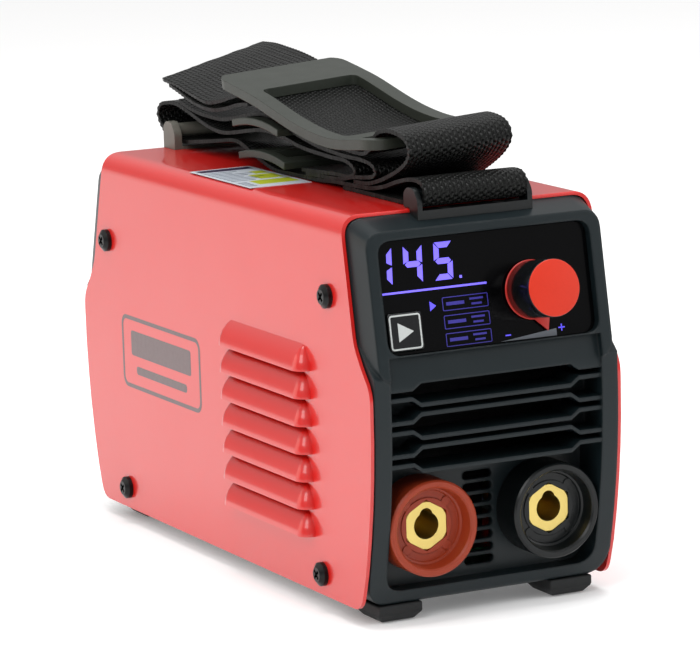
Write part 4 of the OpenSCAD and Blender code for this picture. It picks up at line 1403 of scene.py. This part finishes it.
@dataclass
class Prints:
    """The cover's printed badge frame and its label's coloured fields."""

    places: Places
    side_x: float = -46.5
    side_gap: float = 0.02
    # the badge on the side: from front to rear, and from low to high
    badge: Box = (129.3, 196.3, 51.0, 77.5)
    badge_line: float = 1.5
    badge_corner: float = 4
    badge_hole_corner: float = 2.7
    bar_corner: float = 1.2
    # the label on the top: its height, and fields from left to right, then back
    top_z: float = 134.65
    label_film: float = 0.03
    dark: tuple[Box, ...] = ((-41, -21, 134.5, 139.5),)
    green: tuple[Box, ...] = (
        (-36, -21, 98, 107), (-30, -21, 110, 120), (-26, -21, 122, 128),
    )

    def piece(
        self, parts: list[Shape], matrix: Matrix, name: str, finish: Finish, slot: str
    ) -> Piece:
        """Joins the parts of one print and turns them onto the machine.

        Args:
            parts: The parts, drawn upright, which are freed.
            matrix: From the drawing to the front's frame.
            name: The piece's name.
            finish: Its ink.
            slot: Not used.

        Returns:
            The piece.
        """
        whole = joined(*parts)
        to_machine = self.places.matrix[Space.FRONT] @ matrix
        bmesh.ops.transform(whole, matrix=to_machine, verts=whole.verts)
        bmesh.ops.recalc_face_normals(whole, faces=whole.faces)
        made = finished(whole, name, finish)
        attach(made, "machine")
        return made

    def badge_parts(self) -> list[Shape]:
        """Draws the badge's frame, and two bars where its words would be.

        Returns:
            The parts.
        """
        y0, y1, z0, z1 = self.badge
        t = self.badge_line
        hole = rounded_box(y0 + t, y1 - t, z0 + t, z1 - t, self.badge_hole_corner)
        rim = rounded_box(*self.badge, self.badge_corner)
        # both bars leave a margin at their ends, the lower one a wider margin
        end, low_end = 8, 12
        wide = (y0 + end, y1 - end, z0 + 12.2, z1 - 5.2)
        narrow = (y0 + low_end, y1 - low_end, z0 + 5.6, z0 + 8.6)
        return [
            plate(rim, 0, FILM_MM, [hole]),
            *(
                plate(rounded_box(*bar, self.bar_corner), 0, FILM_MM)
                for bar in (wide, narrow)
            ),
        ]

    def rows(self) -> list[Box]:
        """Gives the thin rows that stand for the label's text.

        Returns:
            A box for each row.
        """
        left, pitch, short_pitch = -41.2, 3.1, 2.6
        # the long rows' right ends are ragged, as lines of text are
        long = [
            (left, -32 + i % 3 * 3, 109.5 + i * pitch, 110.4 + i * pitch)
            for i in range(8)
        ]
        short = [
            (left, -38, 96 + i * short_pitch, 97 + i * short_pitch) for i in range(4)
        ]
        return long + short

    def build(self) -> list[Piece]:
        """Builds the badge and the label's fields.

        Returns:
            The pieces.
        """
        swap_xy = Matrix(((0, 1, 0, 0), (1, 0, 0, 0), (0, 0, 1, 0), (0, 0, 0, 1)))
        swap_yz = Matrix(((1, 0, 0, 0), (0, 0, 1, 0), (0, 1, 0, 0), (0, 0, 0, 1)))
        side = Matrix.Translation((self.side_x - self.side_gap, 0, 0)) @ swap_xy
        parts = self.badge_parts()
        made = [self.piece(parts, side, "cover_print_badge", Paint.PRINT_DARK, "cover")]
        for name, finish, boxes in (
            ("label_field_dark", Paint.LABEL_PURPLE, self.dark),
            ("label_field_green", Paint.LABEL_GREEN, self.green),
            ("label_rows", Paint.LABEL_BLUE, self.rows()),
        ):
            parts = [
                plate([(a, c), (b, c), (b, d), (a, d)], self.top_z, self.label_film)
                for a, b, c, d in boxes
            ]
            made.append(self.piece(parts, swap_yz, name, finish, "rating_label"))
        return made


@dataclass
class Ribbon:
    """One length of webbing, drawn by the paths of its two edges.

    A path's points are (y, z). A row of the mesh is half a row of yarn.
    """

    name: str
    left: Sequence[Point]
    right: Sequence[Point]
    width: float = 38.0
    thick: float = 1.3
    row: float = 1.15
    columns: int = 20
    # steps in which a path is measured, and the step its direction is taken over
    fine: int = 4000
    reach: float = 0.002
    # how far the cloth waves, over what share of its width and what length,
    # and how much of that is left on its middle and added towards its edges
    ripple: float = 0.22
    ripple_across: float = 1.5
    ripple_mm: float = 16
    ripple_middle: float = 0.4
    ripple_edge: float = 1.2
    # how far the yarn's loops stand out of the edge, on odd and even rows
    loops: Point = (0.28, -0.12)
    # whether the last rows are frayed, by how much, and how far inwards
    cut_end: bool = False
    fray: float = 1.1
    fray_in: float = 0.35

    @staticmethod
    def smooth(points: Sequence[Point], t: float) -> Vector:
        """Gives a point of a smooth line.

        Args:
            points: What the line goes through.
            t: Where on the line, from 0 to 1.

        Returns:
            The point.
        """
        last = len(points) - 1
        i = min(int(t * last), last - 1)
        s = t * last - i
        a, b, c, d = (
            Vector(points[min(max(k, 0), last)]) for k in (i - 1, i, i + 1, i + 2)
        )
        return 0.5 * (
            2 * b + (c - a) * s + (2 * a - 5 * b + 4 * c - d) * s**2
            + (3 * b - a - 3 * c + d) * s**3
        )

    def stations(self) -> list[float]:
        """Gives values of t that lie one row apart along the middle.

        Returns:
            The values, the first 0 and the last 1.
        """
        steps = [i / self.fine for i in range(self.fine + 1)]
        middle = [
            (self.smooth(self.left, t) + self.smooth(self.right, t)) / 2 for t in steps
        ]
        run = [0.0]
        for a, b in zip(middle, middle[1:]):
            run.append(run[-1] + (b - a).length)
        rows = round(run[-1] / self.row)
        found, k = [], 0
        for i in range(rows + 1):
            while k < len(run) - 1 and run[k] < run[-1] * i / rows:
                k += 1
            found.append(steps[k])
        return found

    def at(self, t: float, u: float) -> Vector:
        """Gives the point at t along and u across, both from 0 to 1."""
        return self.smooth(self.left, t).lerp(self.smooth(self.right, t), u)

    def bend(
        self, address: dict[bmesh.types.BMVert, tuple[float, int]], rows: list[float]
    ) -> None:
        """Moves a flat grid onto the paths, with its waves, loops and fray.

        Args:
            address: Each vertex's place across, from 0 to 1, and its row.
            rows: Each row's place on the paths, from 0 to 1.
        """
        for vert, (u, r) in address.items():
            t = rows[r]
            ahead = min(1.0, t + self.reach)
            tangent = self.at(ahead, u) - self.at(ahead - 2 * self.reach, u)
            tangent.normalize()
            side = Vector((-tangent.y, tangent.x))
            down = r * self.row / self.ripple_mm
            wave = noise.noise(Vector((u * self.ripple_across, down, len(self.name))))
            share = self.ripple_middle + self.ripple_edge * abs(u - 0.5)
            place = self.at(t, u) + side * wave * self.ripple * share
            x = (u - 0.5) * self.width
            if u < 0.01 or u > 0.99:
                x += self.loops[0 if r % 2 else 1] * (1 if u > 0.5 else -1)
            if self.cut_end and r >= len(rows) - 2:
                place += Vector((self.fray, 0)) * (noise.random() - self.fray_in)
            vert.co = (x, place.x, place.y)

    def build(self, places: Places) -> tuple[Piece, float]:
        """Builds the strip.

        Args:
            places: The drawing frames.

        Returns:
            The piece and its length in millimetres.
        """
        rows = self.stations()
        last = len(rows) - 1
        shape = bmesh.new()
        bmesh.ops.create_grid(shape, x_segments=self.columns, y_segments=last, size=0.5)
        shape.verts.ensure_lookup_table()
        weave = shape.loops.layers.uv.new("weave")
        address = {
            vert: (vert.co.x + 0.5, round((vert.co.y + 0.5) * last))
            for vert in shape.verts
        }
        for face in shape.faces:
            for loop in face.loops:
                u, r = address[loop.vert]
                loop[weave].uv = (u * self.width / MAP_MM, r * self.row / MAP_MM)
        self.bend(address, rows)
        piece = finished(
            shape, self.name, Paint.WEBBING, places.matrix[Space.FRONT], 180
        )
        skin = piece.modifiers.new("thickness", "SOLIDIFY")
        skin.thickness = self.thick * MM
        skin.offset = 0
        return piece, self.row * last


@dataclass
class Strap:
    """The folded shoulder strap: one long run and the layers above it.

    The paths run from the front to the rear, or back. Their layers lie on each
    other a webbing's thickness apart.
    """

    places: Places
    # the handle's run leans more and more to one side between these heights
    roll: float = 1.33
    roll_from: float = 140
    roll_over: float = 10

    def ribbons(self) -> list[tuple[Ribbon, str, list[str]]]:
        """Draws every strip.

        Returns:
            Each strip, how it is held, and the nodes that it stands for.
        """
        rear = [(205, 137.3), (211, 138.7), (216, 141.8), (218.6, 145.4), (216, 149),
                (210, 150.3), (202, 150.4), (191, 148.4), (181, 146), (172, 144.6),
                (162, 144.2), (151, 145.4), (140, 147.2), (128, 148.4), (115, 147.6),
                (104, 146), (92, 145), (80, 144.6), (68, 144.6), (62, 142.9),
                (61, 140.9), (65, 139.4), (76, 139.2), (88, 138.5), (100, 138)]
        start = [(70, 135.3), (50, 135.3), (32, 135.3), (22, 135.5), (17, 135.5),
                 (13.9, 136.3), (12.1, 139.1), (13.2, 142.3), (16.6, 143.5),
                 (23, 143.2), (32, 141.2), (40, 138.9), (50, 137.3), (62, 136.8),
                 (76, 136.5), (90, 135.7), (110, 135.4), (123, 135.6)]
        lifted = [(137, 138.6), (151, 142.2), (165, 141), (180, 139), (196, 137.4)]
        level = [(137, 135.7), (151, 135.9), (165, 136.1), (180, 136.5), (196, 136.9)]
        long_run = Ribbon("strap_long_run", start + lifted + rear, start + level + rear)
        over = [(62, 138.2), (52, 138.7), (44, 140.3), (37, 142.8), (29, 146.6),
                (23.8, 150), (21.6, 153.4), (23.6, 156.8), (29, 158.6), (38, 158.9),
                (44.8, 156.8), (47.9, 152.6), (53, 149.9), (60, 149.4), (70, 149.9),
                (84, 150.9), (96, 152.6), (108, 155), (121, 157.8), (134, 160),
                (150, 161.8)]
        lean = [
            self.roll * min(1.0, max(0.0, (z - self.roll_from) / self.roll_over))
            for _, z in over
        ]
        handle = Ribbon(
            "strap_handle_run",
            [(y, z - drop) for (y, z), drop in zip(over, lean)],
            [(y, z + drop) for (y, z), drop in zip(over, lean)],
        )
        inner = [(200, 151.9), (190, 150), (181, 148.9), (172, 148.6), (162, 148.9),
                 (151, 150.6), (140, 152.8), (128, 153.9), (116, 152.1),
                 (105, 149.9), (96, 148.4), (84, 146.9), (70, 146.2), (57, 146.1),
                 (49, 145.3), (46, 143.3), (47.6, 141.4), (54, 140.4), (62, 139.6),
                 (72, 137.9), (86, 137.2), (98, 136.8)]
        middle = Ribbon("strap_inner_fold", inner, inner)
        tail = Ribbon(
            "strap_free_end",
            [(148, 158.9), (156, 157.2), (165, 155), (176, 153.5), (187, 154.9),
             (199.5, 156.9), (212.8, 158.3)],
            [(148, 163), (156, 165.2), (165, 167.1), (176, 168.4), (187, 169.2),
             (197, 169.7), (206.5, 169.4)],
            cut_end=True,
        )
        under = Ribbon(
            "strap_under_end",
            [(141, 156.2), (150, 155.2), (160, 152.8), (170, 151.3), (181, 151.5),
             (190, 152.8), (199, 155.1), (207, 156.7)],
            [(141, 160.8), (150, 161.2), (160, 162), (170, 163), (181, 164),
             (190, 165), (199, 165.5), (205, 165.4)],
        )
        return [
            (long_run, "folded", ["strap_webbing_lower"]),
            (handle, "folded", ["strap_webbing_upper"]),
            (middle, "folded", []),
            (tail, "laid", ["strap_webbing_tail"]),
            (under, "laid", []),
        ]

    def build(self) -> list[Piece]:
        """Returns:
            The strips.
        """
        made = []
        for ribbon, held, nodes in self.ribbons():
            piece, length = ribbon.build(self.places)
            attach(piece, "machine")
            if nodes:
                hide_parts(*nodes)
            made.append(piece)
        return made


# ------------------------------------------------------------------------ stage
@dataclass(frozen=True)
class Lamp:
    """A soft box: where it stands, what it looks at, its size and power."""

    name: str
    place: Place
    target: Place
    size: Point
    power: float
    colour: str = "#FFFFFF"

    def build(self) -> None:
        """Adds the lamp."""
        data = bpy.data.lights.new(self.name, "AREA")
        data.shape = "RECTANGLE"
        data.size, data.size_y = self.size
        data.energy = self.power
        data.color = linear(self.colour)[:3]
        lamp = bpy.data.objects.new(self.name, data)
        bpy.context.scene.collection.objects.link(lamp)
        lamp.location = self.place
        toward = Vector(self.target) - Vector(self.place)
        lamp.rotation_euler = toward.to_track_quat("-Z", "Y").to_euler()


@dataclass
class Studio:
    """Pale floor, soft light and the camera.

    Places are in metres, angles in degrees, and the lens in millimetres.
    """

    camera_place: Place = (-0.62439, -1.24391, 0.33133)
    azimuth: float = -26.74
    elevation: float = 10.34
    roll: float = -1.783
    lens: float = 209.2
    sensor: float = 36
    clip: Point = (0.05, 60)
    floor_half: float = 6.0
    floor_drop: float = 0.0004
    # the room's light: near the horizon and overhead, between these heights
    room_light: Point = (0.3, 0.85)
    room_rise: Point = (0.02, 0.7)
    backdrop: float = 1.05
    lamps: tuple[Lamp, ...] = (
        Lamp("key_left_front", (-1.3, -1.0, 1.3), (0, 0, 0.08), (1.0, 1.0), 13),
        Lamp("fill_right_front", (1.5, -1.3, 0.7), (0, 0, 0.07), (0.9, 1.2), 8),
        Lamp("top_strip", (0.0, -0.1, 1.5), (0, 0, 0.1), (1.2, 0.5), 13),
        Lamp("side_wall", (-1.6, 0.9, 0.5), (0, 0, 0.08), (1.6, 1.2), 9, "#FFF1E6"),
    )

    def build(self) -> None:
        """Adds everything of the stage."""
        bpy.context.scene.view_settings.view_transform = "Standard"
        self.floor()
        self.sky()
        for lamp in self.lamps:
            lamp.build()
        self.camera()

    def floor(self) -> None:
        """Lays a wide matt floor."""
        shape = bmesh.new()
        bmesh.ops.create_grid(shape, x_segments=2, y_segments=2, size=self.floor_half)
        bmesh.ops.translate(shape, vec=(0, 0, -self.floor_drop), verts=shape.verts)
        paper = Lit(
            "paper_backdrop_white", "#F6F6F6", 0.9, specular=0.1, mottle=0.004,
            mottle_mm=200, grain_mm=2, grain=0.01, edge_mm=0, glow=0.14,
        )
        floor = finished(shape, "studio_floor", paper)

    def sky(self) -> None:
        """Fills the room with soft light that is dimmer near the horizon."""
        world = bpy.data.worlds.new("studio")
        bpy.context.scene.world = world
        world.use_nodes = True
        tree = world.node_tree
        tree.nodes.clear()
        out = add(tree, "ShaderNodeOutputWorld")
        where = add(tree, "ShaderNodeTexCoord").outputs["Generated"]
        split = add(tree, "ShaderNodeSeparateXYZ", inputs={0: where})
        (low, high), (dim, bright) = self.room_rise, self.room_light
        rise = add(
            tree, "ShaderNodeMapRange", {"interpolation_type": "SMOOTHSTEP"},
            {"Value": split.outputs[2], "From Min": low, "From Max": high,
             "To Min": dim, "To Max": bright},
        )
        room, paper = (
            add(
                tree, "ShaderNodeBackground",
                inputs={"Color": (1, 1, 1, 1), "Strength": strength},
            )
            for strength in (rise.outputs[0], self.backdrop)
        )
        seen = add(tree, "ShaderNodeLightPath").outputs["Is Camera Ray"]
        both = add(
            tree, "ShaderNodeMixShader",
            inputs={0: seen, 1: room.outputs[0], 2: paper.outputs[0]},
        )
        tree.links.new(both.outputs[0], out.inputs[0])

    def camera(self) -> None:
        """Sets the camera on the object's front left."""
        angles = (self.azimuth, self.elevation, self.roll)
        az, el, roll = (math.radians(angle) for angle in angles)
        back = Vector(
            (math.sin(az) * math.cos(el), -math.cos(az) * math.cos(el), math.sin(el))
        )
        right = (-back).cross(Vector((0, 0, 1))).normalized()
        up = right.cross(-back)
        x = right * math.cos(roll) + up * math.sin(roll)
        y = -right * math.sin(roll) + up * math.cos(roll)
        data = bpy.data.cameras.new("camera")
        data.lens = self.lens
        data.sensor_width = self.sensor
        data.clip_start, data.clip_end = self.clip
        camera = bpy.data.objects.new("camera", data)
        bpy.context.scene.collection.objects.link(camera)
        turn = Matrix((x, y, back)).transposed().to_4x4()
        camera.matrix_world = Matrix.Translation(self.camera_place) @ turn
        bpy.context.scene.camera = camera


def dress_frame(nodes: dict[str, Piece]) -> None:
    """Gives every frame node its finish.

    Args:
        nodes: The frame's nodes by name.
    """
    for name, node in nodes.items():
        finish = NODE_FINISH[name].material()
        if not node.material_slots:
            node.data.materials.append(finish)
        for holder in node.material_slots:
            holder.material = finish
        LOG.info("dressed %s in %s", name, finish.name)


def main() -> None:
    """Builds the machine's looks and its stage."""
    logging.basicConfig(level=logging.INFO, format="%(message)s")
    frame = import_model()
    noise.seed_set(FRAY_SEED)
    nodes = frame["nodes"]
    bodies = {
        node: body
        for body, names in frame["record"]["behaviour"]["bodies"].items()
        for node in names
    }
    places = Places()
    dress_frame(nodes)
    builders: list[Callable[[], list[Piece]]] = [
        SoftEdged(nodes, bodies).build,
        Knob(places).build,
        Display(places).build,
        Prints(places).build,
        Strap(places).build,
    ]
    for build in builders:
        for piece in build():
            LOG.info("built %s, %d faces", piece.name, len(piece.data.polygons))
    Studio().build()


if __name__ == "__main__":
    main()
